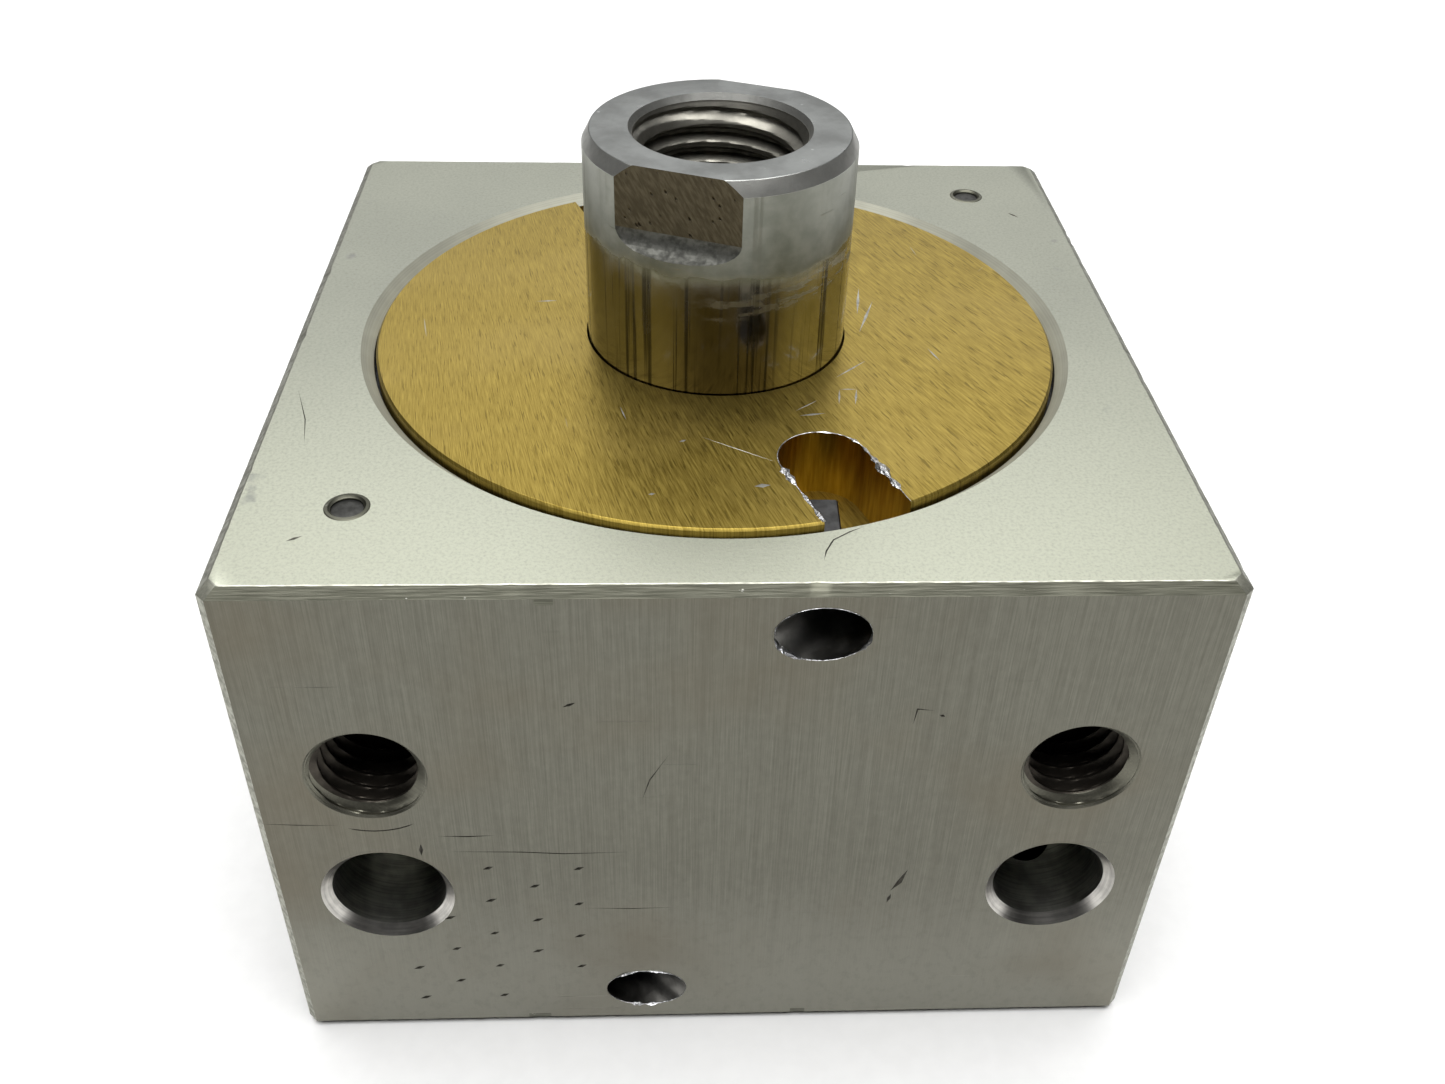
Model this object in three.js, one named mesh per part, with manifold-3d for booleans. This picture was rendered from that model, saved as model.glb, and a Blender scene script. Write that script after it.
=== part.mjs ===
// A compact block cylinder: a square body with a short-stroke piston, a wire-locked rod gland on top and
// a wire-locked cap below. Millimetres, +Z up along the rod, origin at the centre of the body's bottom face,
// ports on the -Y face. The rod stands part-way out, 12 mm above its lowest position.
import * as THREE from "three";
import { mergeVertices } from "three/addons/utils/BufferGeometryUtils.js";
import Module from "manifold-3d";

const wasm = await Module();
wasm.setup();

// Body block
const BODY_SIDE = 81.5;
const BODY_HEIGHT = 56.5;
const BODY_EDGE_CHAMFER = 0.8;
const BODY_CORNER_CHAMFER = 0.6;

// Bore, and the wider seats for the gland above and the cap below
const BORE_RADIUS = 31.5;
const SEAT_RADIUS = 33.35;
const MOUTH_RADIUS = 34.4;
const SEAT_GAP = 0.3;

// Gland and cap. Depths are measured inwards from the body's face.
const CLOSURE_RADIUS = SEAT_RADIUS - SEAT_GAP;
const CLOSURE_RECESS = 0.2;
const CLOSURE_CHAMFER = 0.25;
const GLAND_DEPTH = 14.6;
const CAP_DEPTH = 12.2;
const CLOSURE_RING_GROOVE = { top: 9, bottom: 11.6, radius: 30.6 };
const STATIC_GAP = 0.2;

// Lock wire, the groove it shares between body and closure, and the slanted hole it is fed through
const WIRE_SIDE = 3.6;
const GLAND_WIRE_DEPTH = 4.6;
const CAP_WIRE_DEPTH = 5.4;
const WIRE_RADIUS = 33.75;
const WIRE_GROOVE_SIDE = 4.2;
const WIRE_HOOK_REACH = 26;
const WIRE_HOOK_ROUNDING = 3.6;
const WIRE_TAIL = 18;
const WIRE_TAIL_ANGLE = -45;
const FEED_HOLE_RADIUS = 2.75;
const FEED_HOLE_OFFSET = 33.85;

// Spanner slots in the gland and the cap
const SLOT_ANGLES = [-69.4, 110.6];
const SLOT_HALF_WIDTH = 4;
const SLOT_END_RADIUS = 24.3;

// Ports in the front face, and the threaded pair in the back face
const PORT_X = 30.5;
const THREAD_PORT = { height: 36.2, radius: 4.3, mouth: 5.2, depth: 15 };
const PLUG_IN_PORT = { height: 20.4, radius: 5.15, mouth: 6, depth: 14 };
const PORT_PLUG = { radius: 4, length: 9, recess: 0.6, socketRadius: 2.9, socketDepth: 4.5 };

// Passages drilled from the top and bottom faces, closed by pressed plugs
const TOP_PASSAGE_RADIUS = 1.5;
const BOTTOM_PASSAGE_RADIUS = 2.75;
const PASSAGE_PLUG_LENGTH = 4;
const PASSAGES = [
  { name: "top_left", x: -31, y: -30, fromTop: true, reach: PLUG_IN_PORT.height },
  { name: "top_right", x: 30.5, y: 31, fromTop: true, reach: THREAD_PORT.height },
  { name: "bottom_right", x: 30.5, y: -31, fromTop: false, reach: THREAD_PORT.height },
  { name: "bottom_left", x: -30.5, y: 31, fromTop: false, reach: THREAD_PORT.height },
];
const CHAMBER_DRILL = { radius: 1.5, start: 30, fromTop: [16.1, 20.4], fromBottom: [14.6, 18.9] };

// Rod, and the grooves of the gland that hold its wiper, seal and guide ring
const ROD_RADIUS = 12.5;
const ROD_STANDOUT = 20.35;
const ROD_CHAMFER = { inset: 0.7, height: 1.3 };
const ROD_THREAD = { radius: 7, mouth: 8.4, depth: 22 };
const FLAT_DISTANCE = 11.1;
const FLAT_LENGTH = 6.2;
const FLAT_ANGLES = [-111, 69];
const ROD_HOLE_RADIUS = 12.75;
const ROD_RING_RADIUS = 12.65;
const ROD_RINGS = [
  { name: "rod_wiper", top: 2, bottom: 5.4, radius: 16.2, material: "wiper" },
  { name: "rod_seal", top: 6.4, bottom: 10.2, radius: 16.8, material: "seal" },
  { name: "rod_guide_ring", top: 10.8, bottom: 13.8, radius: 14.6, material: "guide" },
];

// Piston and what clamps it to the rod. Heights are above the piston's lower face.
const PISTON_REST = 25.15;
const PISTON_HEIGHT = 13;
const PISTON_RADIUS = 31.2;
const PISTON_CHAMFER = 0.6;
const PISTON_RING_FLOOR = 28.5;
const PISTON_RINGS = [
  { name: "piston_guide_ring", bottom: 1.6, top: 5.4, material: "guide" },
  { name: "piston_seal", bottom: 7.2, top: 11.4, material: "seal" },
];
const RUNNING_GAP = 0.1;
const SPIGOT_RADIUS = 7.8;
const SPIGOT_HOLE_RADIUS = 8.1;
const SPIGOT_END = 0.8;
const NUT_POCKET = { radius: 15.5, depth: 8 };
const NUT = { acrossFlats: 24, height: 6.6 };
const ROD_O_RING = { bottom: 9.6, top: 11.8, radius: 10.1 };

// Facets round the large and the small circles. Multiples of 12 turn onto themselves in 30 degree steps.
const LARGE = 36;
const SMALL = 24;
const HOLE = 16;
const FINE = 8;
const OVERSHOOT = 1;

const FINISHES = {
  body: { color: 0xa9a695, roughness: 0.45, metalness: 0.9 },
  anodised: { color: 0xb8862b, roughness: 0.4, metalness: 0.9 },
  rod: { color: 0xb6b6b2, roughness: 0.2, metalness: 1 },
  steel: { color: 0x6d6c69, roughness: 0.5, metalness: 0.9 },
  plug: { color: 0x55554f, roughness: 0.6, metalness: 0.8 },
  seal: { color: 0x22221f, roughness: 0.7, metalness: 0 },
  wiper: { color: 0x2f4a38, roughness: 0.6, metalness: 0 },
  guide: { color: 0x8a6a3a, roughness: 0.6, metalness: 0 },
};

const radians = THREE.MathUtils.degToRad;

// A closed triangle mesh becomes a solid once its shared corners are one vertex and its empty faces are gone.
function solidOf(geometry) {
  const bare = geometry.clone();
  bare.deleteAttribute("normal");
  bare.deleteAttribute("uv");
  const merged = mergeVertices(bare);
  const index = merged.index.array;
  const faces = [];
  for (let i = 0; i < index.length; i += 3) {
    const [a, b, c] = index.slice(i, i + 3);
    if (a !== b && b !== c && c !== a) faces.push(a, b, c);
  }
  return new wasm.Manifold(
    new wasm.Mesh({
      numProp: 3,
      vertProperties: Float32Array.from(merged.attributes.position.array),
      triVerts: Uint32Array.from(faces),
    }),
  );
}

function geometryOf(solid) {
  const mesh = solid.getMesh();
  const geometry = new THREE.BufferGeometry();
  geometry.setAttribute("position", new THREE.BufferAttribute(Float32Array.from(mesh.vertProperties), 3));
  geometry.setIndex(new THREE.BufferAttribute(Uint32Array.from(mesh.triVerts), 1));
  geometry.computeVertexNormals();
  return geometry;
}

function cut(solid, tools) {
  return tools.reduce((left, tool) => left.subtract(tool), solid);
}

// A solid of revolution about Z. The outline's points are [radius, height], going up its outer side.
function revolve(outline, facets) {
  const points = outline.map(([radius, height]) => new THREE.Vector2(radius, height));
  return solidOf(new THREE.LatheGeometry(points, facets).rotateX(Math.PI / 2));
}

function ring(inner, outer, bottom, top, facets) {
  const outline = [
    [inner, bottom],
    [outer, bottom],
    [outer, top],
    [inner, top],
    [inner, bottom],
  ];
  return revolve(outline, facets);
}

// A plane outline carried upwards from height bottom to height top.
function extrude(shape, bottom, top, curveSegments = FINE) {
  const options = { depth: top - bottom, bevelEnabled: false, curveSegments };
  return solidOf(new THREE.ExtrudeGeometry(shape, options).translate(0, 0, bottom));
}

// A round hole's tool, from one point to another. The end radius differs for a cone.
function drill(from, to, radius, facets = HOLE, endRadius = radius) {
  const start = new THREE.Vector3(...from);
  const way = new THREE.Vector3(...to).sub(start);
  const turn = new THREE.Quaternion().setFromUnitVectors(
    new THREE.Vector3(0, 1, 0),
    way.clone().normalize(),
  );
  const geometry = new THREE.CylinderGeometry(endRadius, radius, way.length(), facets);
  geometry.applyQuaternion(turn);
  const middle = start.addScaledVector(way, 0.5);
  return solidOf(geometry.translate(middle.x, middle.y, middle.z));
}

function piece(name, solid, finish) {
  const mesh = new THREE.Mesh(geometryOf(solid), new THREE.MeshStandardMaterial(FINISHES[finish]));
  mesh.name = name;
  return mesh;
}

function place(children, z, turnY = 0) {
  const group = new THREE.Group();
  group.add(...children);
  group.position.z = z;
  group.rotation.y = turnY;
  return group;
}

// The square block, with chamfered corners and edges.
function block() {
  const half = BODY_SIDE / 2 - BODY_EDGE_CHAMFER;
  const corner = half - BODY_CORNER_CHAMFER;
  const shape = new THREE.Shape();
  shape.moveTo(-corner, -half);
  shape.lineTo(corner, -half);
  shape.lineTo(half, -corner);
  shape.lineTo(half, corner);
  shape.lineTo(corner, half);
  shape.lineTo(-corner, half);
  shape.lineTo(-half, corner);
  shape.lineTo(-half, -corner);
  const options = {
    depth: BODY_HEIGHT - 2 * BODY_EDGE_CHAMFER,
    bevelThickness: BODY_EDGE_CHAMFER,
    bevelSize: BODY_EDGE_CHAMFER,
    bevelSegments: 1,
  };
  return solidOf(new THREE.ExtrudeGeometry(shape, options).translate(0, 0, BODY_EDGE_CHAMFER));
}

// The space inside the body: bore, seats, wire grooves and mouth chamfers.
function boreSpace() {
  const mouth = MOUTH_RADIUS - SEAT_RADIUS;
  const grooveRadius = WIRE_RADIUS + WIRE_GROOVE_SIDE / 2;
  const halfGroove = WIRE_GROOVE_SIDE / 2;
  const capGroove = CAP_WIRE_DEPTH;
  const glandGroove = BODY_HEIGHT - GLAND_WIRE_DEPTH;
  const capSeat = CAP_DEPTH + SEAT_GAP;
  const glandSeat = BODY_HEIGHT - GLAND_DEPTH - SEAT_GAP;
  const outline = [
    [0, -OVERSHOOT],
    [MOUTH_RADIUS + OVERSHOOT, -OVERSHOOT],
    [SEAT_RADIUS, mouth],
    [SEAT_RADIUS, capGroove - halfGroove],
    [grooveRadius, capGroove - halfGroove],
    [grooveRadius, capGroove + halfGroove],
    [SEAT_RADIUS, capGroove + halfGroove],
    [SEAT_RADIUS, capSeat],
    [BORE_RADIUS, capSeat],
    [BORE_RADIUS, glandSeat],
    [SEAT_RADIUS, glandSeat],
    [SEAT_RADIUS, glandGroove - halfGroove],
    [grooveRadius, glandGroove - halfGroove],
    [grooveRadius, glandGroove + halfGroove],
    [SEAT_RADIUS, glandGroove + halfGroove],
    [SEAT_RADIUS, BODY_HEIGHT - mouth],
    [MOUTH_RADIUS + OVERSHOOT, BODY_HEIGHT + OVERSHOOT],
    [0, BODY_HEIGHT + OVERSHOOT],
  ];
  return revolve(outline, LARGE);
}

// A blind port with a chamfered mouth. Side is -1 for the front face and 1 for the back face.
function portTools(x, side, port) {
  const face = (side * BODY_SIDE) / 2;
  const chamfer = port.mouth - port.radius;
  const outside = face + side * OVERSHOOT;
  const bottom = face - side * port.depth;
  const coneEnd = face - side * chamfer;
  return [
    drill([x, outside, port.height], [x, bottom, port.height], port.radius),
    drill([x, outside, port.height], [x, coneEnd, port.height], port.mouth + OVERSHOOT, HOLE, port.radius),
  ];
}

// A passage down from the top face or up from the bottom face, and the slanted drill from it to the bore.
function passageTools(passage) {
  const { x, y, fromTop, reach } = passage;
  const outside = fromTop ? BODY_HEIGHT + OVERSHOOT : -OVERSHOOT;
  const radius = fromTop ? TOP_PASSAGE_RADIUS : BOTTOM_PASSAGE_RADIUS;
  const [inner, outer] = fromTop
    ? CHAMBER_DRILL.fromTop.map((depth) => BODY_HEIGHT - depth)
    : CHAMBER_DRILL.fromBottom;
  const share = CHAMBER_DRILL.start / Math.hypot(x, y);
  return [
    drill([x, y, outside], [x, y, reach], radius, FINE),
    drill([x * share, y * share, inner], [x, y, outer], CHAMBER_DRILL.radius, FINE),
  ];
}

// The slanted hole that a lock wire is fed through. It meets the wire groove at a tangent.
function feedHole(mirror, height) {
  const along = new THREE.Vector2(mirror, 1).normalize();
  const tangent = new THREE.Vector2(mirror, -1).normalize().multiplyScalar(FEED_HOLE_OFFSET);
  const length = BODY_SIDE / 2;
  return drill(
    [tangent.x - along.x * length, tangent.y - along.y * length, height],
    [tangent.x, tangent.y, height],
    FEED_HOLE_RADIUS,
  );
}

function cylinderBody() {
  const tools = [
    boreSpace(),
    feedHole(1, BODY_HEIGHT - GLAND_WIRE_DEPTH),
    feedHole(-1, CAP_WIRE_DEPTH),
    ...PASSAGES.flatMap(passageTools),
  ];
  for (const x of [-PORT_X, PORT_X]) {
    tools.push(...portTools(x, -1, THREAD_PORT));
    tools.push(...portTools(x, -1, PLUG_IN_PORT));
    tools.push(...portTools(x, 1, THREAD_PORT));
  }
  return piece("cylinder_body", cut(block(), tools), "body");
}

// A spanner slot with a round inner end, open at the rim.
function slotTool(angle, depth) {
  const shape = new THREE.Shape();
  shape.absarc(SLOT_END_RADIUS, 0, SLOT_HALF_WIDTH, Math.PI / 2, (3 * Math.PI) / 2);
  shape.lineTo(CLOSURE_RADIUS + OVERSHOOT, -SLOT_HALF_WIDTH);
  shape.lineTo(CLOSURE_RADIUS + OVERSHOOT, SLOT_HALF_WIDTH);
  return extrude(shape, -depth, OVERSHOOT).rotate([0, 0, angle]);
}

// The disc that the gland and the cap share, with its outer face at height 0 and its depth below.
function closure(depth, wireDepth) {
  const groove = CLOSURE_RING_GROOVE;
  const wireFloor = WIRE_RADIUS - WIRE_GROOVE_SIDE / 2;
  const wireTop = -wireDepth + WIRE_GROOVE_SIDE / 2;
  const wireBottom = -wireDepth - WIRE_GROOVE_SIDE / 2;
  const outline = [
    [0, -depth],
    [CLOSURE_RADIUS - CLOSURE_CHAMFER, -depth],
    [CLOSURE_RADIUS, -depth + CLOSURE_CHAMFER],
    [CLOSURE_RADIUS, -groove.bottom],
    [groove.radius, -groove.bottom],
    [groove.radius, -groove.top],
    [CLOSURE_RADIUS, -groove.top],
    [CLOSURE_RADIUS, wireBottom],
    [wireFloor, wireBottom],
    [wireFloor, wireTop],
    [CLOSURE_RADIUS, wireTop],
    [CLOSURE_RADIUS, -CLOSURE_RECESS - CLOSURE_CHAMFER],
    [CLOSURE_RADIUS - CLOSURE_CHAMFER, -CLOSURE_RECESS],
    [0, -CLOSURE_RECESS],
  ];
  const slots = SLOT_ANGLES.map((angle) => slotTool(angle, -wireBottom));
  return cut(revolve(outline, LARGE), slots);
}

function rodGland() {
  const hole = drill([0, 0, -GLAND_DEPTH - OVERSHOOT], [0, 0, OVERSHOOT], ROD_HOLE_RADIUS, SMALL);
  const grooves = ROD_RINGS.map(({ top, bottom, radius }) => ring(ROD_RADIUS, radius, -bottom, -top, SMALL));
  return piece("rod_gland", cut(closure(GLAND_DEPTH, GLAND_WIRE_DEPTH), [hole, ...grooves]), "anodised");
}

// The wire in plan: a hook that lies against the left wall of the first slot, nearly a full turn of the
// groove, clockwise from above, and a straight tail into the slanted hole.
function lockWire(name, wireDepth) {
  const inner = WIRE_RADIUS - WIRE_SIDE / 2;
  const outer = WIRE_RADIUS + WIRE_SIDE / 2;
  const hookAngle = radians(SLOT_ANGLES[0]);
  const left = -SLOT_HALF_WIDTH + STATIC_GAP;
  const right = left + WIRE_SIDE;
  const inSlot = (radial, lateral) => [
    radial * Math.cos(hookAngle) - lateral * Math.sin(hookAngle),
    radial * Math.sin(hookAngle) + lateral * Math.cos(hookAngle),
  ];
  const hookLeft = hookAngle + Math.asin(left / inner);
  const bendStart = hookAngle + Math.asin((right - WIRE_HOOK_ROUNDING) / outer);
  const end = radians(WIRE_TAIL_ANGLE) - 2 * Math.PI;
  const tail = (radius) => [
    radius * Math.cos(end) + WIRE_TAIL * Math.sin(end),
    radius * Math.sin(end) - WIRE_TAIL * Math.cos(end),
  ];
  const shape = new THREE.Shape();
  shape.moveTo(...inSlot(WIRE_HOOK_REACH, right));
  shape.lineTo(...inSlot(outer - WIRE_HOOK_ROUNDING, right));
  shape.quadraticCurveTo(
    ...inSlot(outer, right),
    outer * Math.cos(bendStart),
    outer * Math.sin(bendStart),
  );
  shape.absarc(0, 0, outer, bendStart, end, true);
  shape.lineTo(...tail(outer));
  shape.lineTo(...tail(inner));
  shape.absarc(0, 0, inner, end, hookLeft, false);
  shape.lineTo(...inSlot(WIRE_HOOK_REACH, left));
  const bottom = -wireDepth - WIRE_SIDE / 2;
  return piece(name, extrude(shape, bottom, bottom + WIRE_SIDE, LARGE / 2), "steel");
}

function closureRing(name) {
  const { top, bottom, radius } = CLOSURE_RING_GROOVE;
  return piece(
    name,
    ring(radius + STATIC_GAP, CLOSURE_RADIUS, -bottom + STATIC_GAP, -top - STATIC_GAP, LARGE),
    "seal",
  );
}

function rodRing({ name, top, bottom, radius, material }) {
  return piece(
    name,
    ring(ROD_RING_RADIUS, radius - STATIC_GAP, -bottom + STATIC_GAP, -top - STATIC_GAP, SMALL),
    material,
  );
}

// The top end, with the outer face of the gland's seat at height 0.
function glandEnd() {
  return [
    rodGland(),
    lockWire("gland_lock_wire", GLAND_WIRE_DEPTH),
    closureRing("gland_o_ring"),
    ...ROD_RINGS.map(rodRing),
  ];
}

// The bottom end, drawn like the top one and turned upside down about Y.
function capEnd() {
  return [
    piece("rear_cap", closure(CAP_DEPTH, CAP_WIRE_DEPTH), "anodised"),
    lockWire("cap_lock_wire", CAP_WIRE_DEPTH),
    closureRing("cap_o_ring"),
  ];
}

function passagePlug({ name, x, y, fromTop }) {
  const radius = (fromTop ? TOP_PASSAGE_RADIUS : BOTTOM_PASSAGE_RADIUS) - STATIC_GAP;
  const outer = fromTop ? BODY_HEIGHT - STATIC_GAP : STATIC_GAP;
  const inner = fromTop ? outer - PASSAGE_PLUG_LENGTH : outer + PASSAGE_PLUG_LENGTH;
  return piece(`passage_plug_${name}`, drill([x, y, outer], [x, y, inner], radius, FINE), "plug");
}

// A headless screw with a hexagon socket, just below the back face.
function portPlug(name, x) {
  const outer = BODY_SIDE / 2 - PORT_PLUG.recess;
  const height = THREAD_PORT.height;
  const shank = drill([x, outer, height], [x, outer - PORT_PLUG.length, height], PORT_PLUG.radius);
  const socketEnd = outer - PORT_PLUG.socketDepth;
  const socket = drill([x, outer + OVERSHOOT, height], [x, socketEnd, height], PORT_PLUG.socketRadius, 6);
  return piece(name, shank.subtract(socket), "steel");
}

// The rod, drawn from the piston's lower face: spigot, shoulder on the piston, shank, threaded socket, flats.
function pistonRod() {
  const top = BODY_HEIGHT + ROD_STANDOUT - PISTON_REST;
  const lead = ROD_THREAD.mouth - ROD_THREAD.radius;
  const outline = [
    [0, SPIGOT_END],
    [SPIGOT_RADIUS, SPIGOT_END],
    [SPIGOT_RADIUS, PISTON_HEIGHT],
    [ROD_RADIUS, PISTON_HEIGHT],
    [ROD_RADIUS, top - ROD_CHAMFER.height],
    [ROD_RADIUS - ROD_CHAMFER.inset, top],
    [ROD_THREAD.mouth, top],
    [ROD_THREAD.radius, top - lead],
    [ROD_THREAD.radius, top - ROD_THREAD.depth],
    [0, top - ROD_THREAD.depth - ROD_THREAD.radius / 2],
  ];
  const flatBottom = top - FLAT_LENGTH;
  const flats = FLAT_ANGLES.map((angle) => {
    const tool = new THREE.BoxGeometry(ROD_RADIUS, 2 * ROD_RADIUS, FLAT_LENGTH + OVERSHOOT);
    tool.translate(FLAT_DISTANCE + ROD_RADIUS / 2, 0, flatBottom + (FLAT_LENGTH + OVERSHOOT) / 2);
    return solidOf(tool.rotateZ(radians(angle)));
  });
  return piece("piston_rod", cut(revolve(outline, SMALL), flats), "rod");
}

function piston() {
  const inner = PISTON_RADIUS - PISTON_CHAMFER;
  const outline = [
    [SPIGOT_HOLE_RADIUS, NUT_POCKET.depth],
    [NUT_POCKET.radius, NUT_POCKET.depth],
    [NUT_POCKET.radius, 0],
    [inner, 0],
    [PISTON_RADIUS, PISTON_CHAMFER],
    ...PISTON_RINGS.flatMap(({ bottom, top }) => [
      [PISTON_RADIUS, bottom],
      [PISTON_RING_FLOOR, bottom],
      [PISTON_RING_FLOOR, top],
      [PISTON_RADIUS, top],
    ]),
    [PISTON_RADIUS, PISTON_HEIGHT - PISTON_CHAMFER],
    [inner, PISTON_HEIGHT],
    [SPIGOT_HOLE_RADIUS, PISTON_HEIGHT],
    [SPIGOT_HOLE_RADIUS, ROD_O_RING.top],
    [ROD_O_RING.radius, ROD_O_RING.top],
    [ROD_O_RING.radius, ROD_O_RING.bottom],
    [SPIGOT_HOLE_RADIUS, ROD_O_RING.bottom],
    [SPIGOT_HOLE_RADIUS, NUT_POCKET.depth],
  ];
  return piece("piston", revolve(outline, LARGE), "body");
}

function pistonNut() {
  const top = NUT_POCKET.depth - STATIC_GAP;
  const bottom = top - NUT.height;
  const corner = NUT.acrossFlats / 2 / Math.cos(Math.PI / 6);
  const blank = drill([0, 0, bottom], [0, 0, top], corner, 6);
  const hole = drill([0, 0, bottom - OVERSHOOT], [0, 0, top + OVERSHOOT], SPIGOT_HOLE_RADIUS);
  return piece("piston_nut", blank.subtract(hole), "steel");
}

function rodORing() {
  const inner = SPIGOT_HOLE_RADIUS - RUNNING_GAP;
  const outer = ROD_O_RING.radius - STATIC_GAP;
  const bottom = ROD_O_RING.bottom + STATIC_GAP;
  return piece("piston_rod_o_ring", ring(inner, outer, bottom, ROD_O_RING.top - STATIC_GAP, SMALL), "seal");
}

function pistonRing({ name, bottom, top, material }) {
  const inner = PISTON_RING_FLOOR + STATIC_GAP;
  const outer = BORE_RADIUS - STATIC_GAP;
  return piece(name, ring(inner, outer, bottom + RUNNING_GAP, top - RUNNING_GAP, LARGE), material);
}

const cylinder = new THREE.Group();
cylinder.add(
  cylinderBody(),
  place(glandEnd(), BODY_HEIGHT),
  place(capEnd(), 0, Math.PI),
  ...PASSAGES.map(passagePlug),
  portPlug("port_plug_rod_end", PORT_X),
  portPlug("port_plug_cap_end", -PORT_X),
);

const rodAndPiston = place([pistonRod(), piston(), pistonNut(), rodORing()], PISTON_REST);
const pistonSeals = place(PISTON_RINGS.map(pistonRing), PISTON_REST);

const blockCylinder = new THREE.Group();
blockCylinder.add(cylinder, pistonSeals, rodAndPiston);

export default blockCylinder;
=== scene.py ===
"""Looks of the compact block cylinder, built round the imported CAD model. Lengths are in millimetres unless
a comment says otherwise, in the model's frame: +Z up along the rod, ports on the -Y face, origin under the
body."""

import math
import random

import bmesh
import bpy
from mathutils import Matrix, Vector, noise


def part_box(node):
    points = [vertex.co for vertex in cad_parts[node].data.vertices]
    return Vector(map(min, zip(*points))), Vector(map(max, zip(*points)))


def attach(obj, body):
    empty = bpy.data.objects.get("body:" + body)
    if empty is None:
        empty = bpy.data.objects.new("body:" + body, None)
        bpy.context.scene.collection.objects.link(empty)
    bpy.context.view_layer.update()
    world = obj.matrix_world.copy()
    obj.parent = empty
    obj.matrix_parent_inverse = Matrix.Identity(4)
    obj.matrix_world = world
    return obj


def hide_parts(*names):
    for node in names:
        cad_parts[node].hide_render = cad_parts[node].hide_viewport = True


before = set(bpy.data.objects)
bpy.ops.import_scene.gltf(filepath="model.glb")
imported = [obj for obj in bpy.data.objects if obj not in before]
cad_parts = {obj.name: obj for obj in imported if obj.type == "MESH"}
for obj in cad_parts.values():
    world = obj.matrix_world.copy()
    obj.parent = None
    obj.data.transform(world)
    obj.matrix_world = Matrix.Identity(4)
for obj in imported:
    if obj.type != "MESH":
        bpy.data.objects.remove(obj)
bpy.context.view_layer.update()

MM = 0.001

# How far most cutting tools stand out of the face that they cut
OUT = 1

# Where the CAD pieces are
HALF, _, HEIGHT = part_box("cylinder_body")[1] / MM
ROD_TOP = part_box("piston_rod")[1].z / MM
PISTON_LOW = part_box("piston")[0].z / MM

# Camera, at a distance from the point that it looks at
CAMERA = {"target": (1.315, 0, 29.2), "distance": 154.4, "turn": -3.27, "rise": 38.06, "roll": 1.78}
LENS = 34.55
SENSOR = 36

# The room: its grey, how many times that its wall is when looked at, and where it is brightest. Its light
# grows from its dimmest to its brightest between two places along the way to that side
ROOM_GREY = 0.0509
WALL_BRIGHTNESS = 17
BRIGHT_SIDE = (0, 0.55, 0.83)
ROOM_LIGHT = {"from": -0.3, "to": 0.9, "dimmest": 0.15, "brightest": 1.1}

# Lights, in metres and watts
LIGHTS = {
    "overhead": {"place": (0.0, -0.08, 1.25), "size": (1.5, 1.3), "power": 31},
    "back_panel": {"place": (0.0, 1.5, 1.0), "size": (2.0, 0.9), "power": 7},
}
FLOOR_HALF = 1500

# Body. Each side of its outline is drawn in short steps. Its edges wander, by (how closely along the edge,
# how far apart from edge to edge, how much), and carry nicks. The border is where the edge's wear ends
SIDE_STEPS = 110
WANDER = ((0.8, 9.7, 0.06), (2.9, 5.1, 0.04))
NICKS = 46
NICK_DEPTHS = (0.04, 0.18)
NICK_WIDTHS = (0.4, 1.3)
BORDER = 0.6
EDGE_CHAMFER = 0.8
CORNER_CHAMFER = 0.8
EDGE_FACET = {"inset": 0.1, "drop": 0.04}
MOUTH_RADIUS = 34.4
SEAT_RADIUS = 33.3
BORE_RADIUS = 31.5
GLAND_DEPTH = 14.6
CAP_DEPTH = 12.2
SEAT_GAP = 0.3
SEAM = 0.01

# Lock wires, and the slanted holes that they are fed through: each hole's way (1 or -1 along X) and height
WIRE_DEPTHS = {"gland": 4.6, "cap": 5.4}
WIRE_RADIUS = 33.75
WIRE_SIDE = 3.6
WIRE_GROOVE = 4.2
WIRE_BEND = 2.6
WIRE_HOOK = {"start": (26.55, -1.48), "lean": -22}
WIRE_TAIL = {"length": 18, "angle": -45}
FEED_RADIUS = 2.75
FEED_OFFSET = 33.85
FEEDS = ((1, HEIGHT - WIRE_DEPTHS["gland"]), (-1, WIRE_DEPTHS["cap"]))

# Gland and cap. A groove is its outer side, its inner side, both from the outer face, and its floor's radius
CLOSURE_RADIUS = 33.0
CLOSURE_RECESS = 0.2
CLOSURE_CHAMFER = 0.2
CLOSURE_LEAD = 0.4
CLOSURE_RING_GROOVE = (9, 11.6, 30.6)
SLOT_ANGLES = (-69.4, 110.6)
SLOT_HALF_WIDTH = 4
SLOT_END_RADIUS = 24.3
ROD_HOLE_RADIUS = 12.76
ROD_GROOVES = ((2, 5.4, 16.2), (6.4, 10.2, 16.8), (10.8, 13.8, 14.6))
RING_GAP = 0.1

# Ports
PORT_X = 30.5
THREAD_PORT = {"height": 36.2, "major": 5.0, "minor": 4.2, "pitch": 1.5, "mouth": 5.2, "depth": 15}
PLUG_IN_PORT = {"height": 20.4, "radius": 5.15, "mouth": 6.0, "depth": 14}
THREAD_WALL = 0.05
PORT_PLUG = {"radius": 4.9, "length": 9, "recess": 0.6, "socket": 2.9, "socket_depth": 4.5}

# Drilled passages: x, y, radius, whether it starts at the top, and the height of its far end
PASSAGES = {
    "top_left": (-31, -30, 1.5, True, 20.4),
    "top_right": (30.5, 31, 1.5, True, 36.2),
    "bottom_right": (30.5, -31, 2.75, False, 36.2),
    "bottom_left": (-30.5, 31, 2.75, False, 36.2),
}

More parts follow.
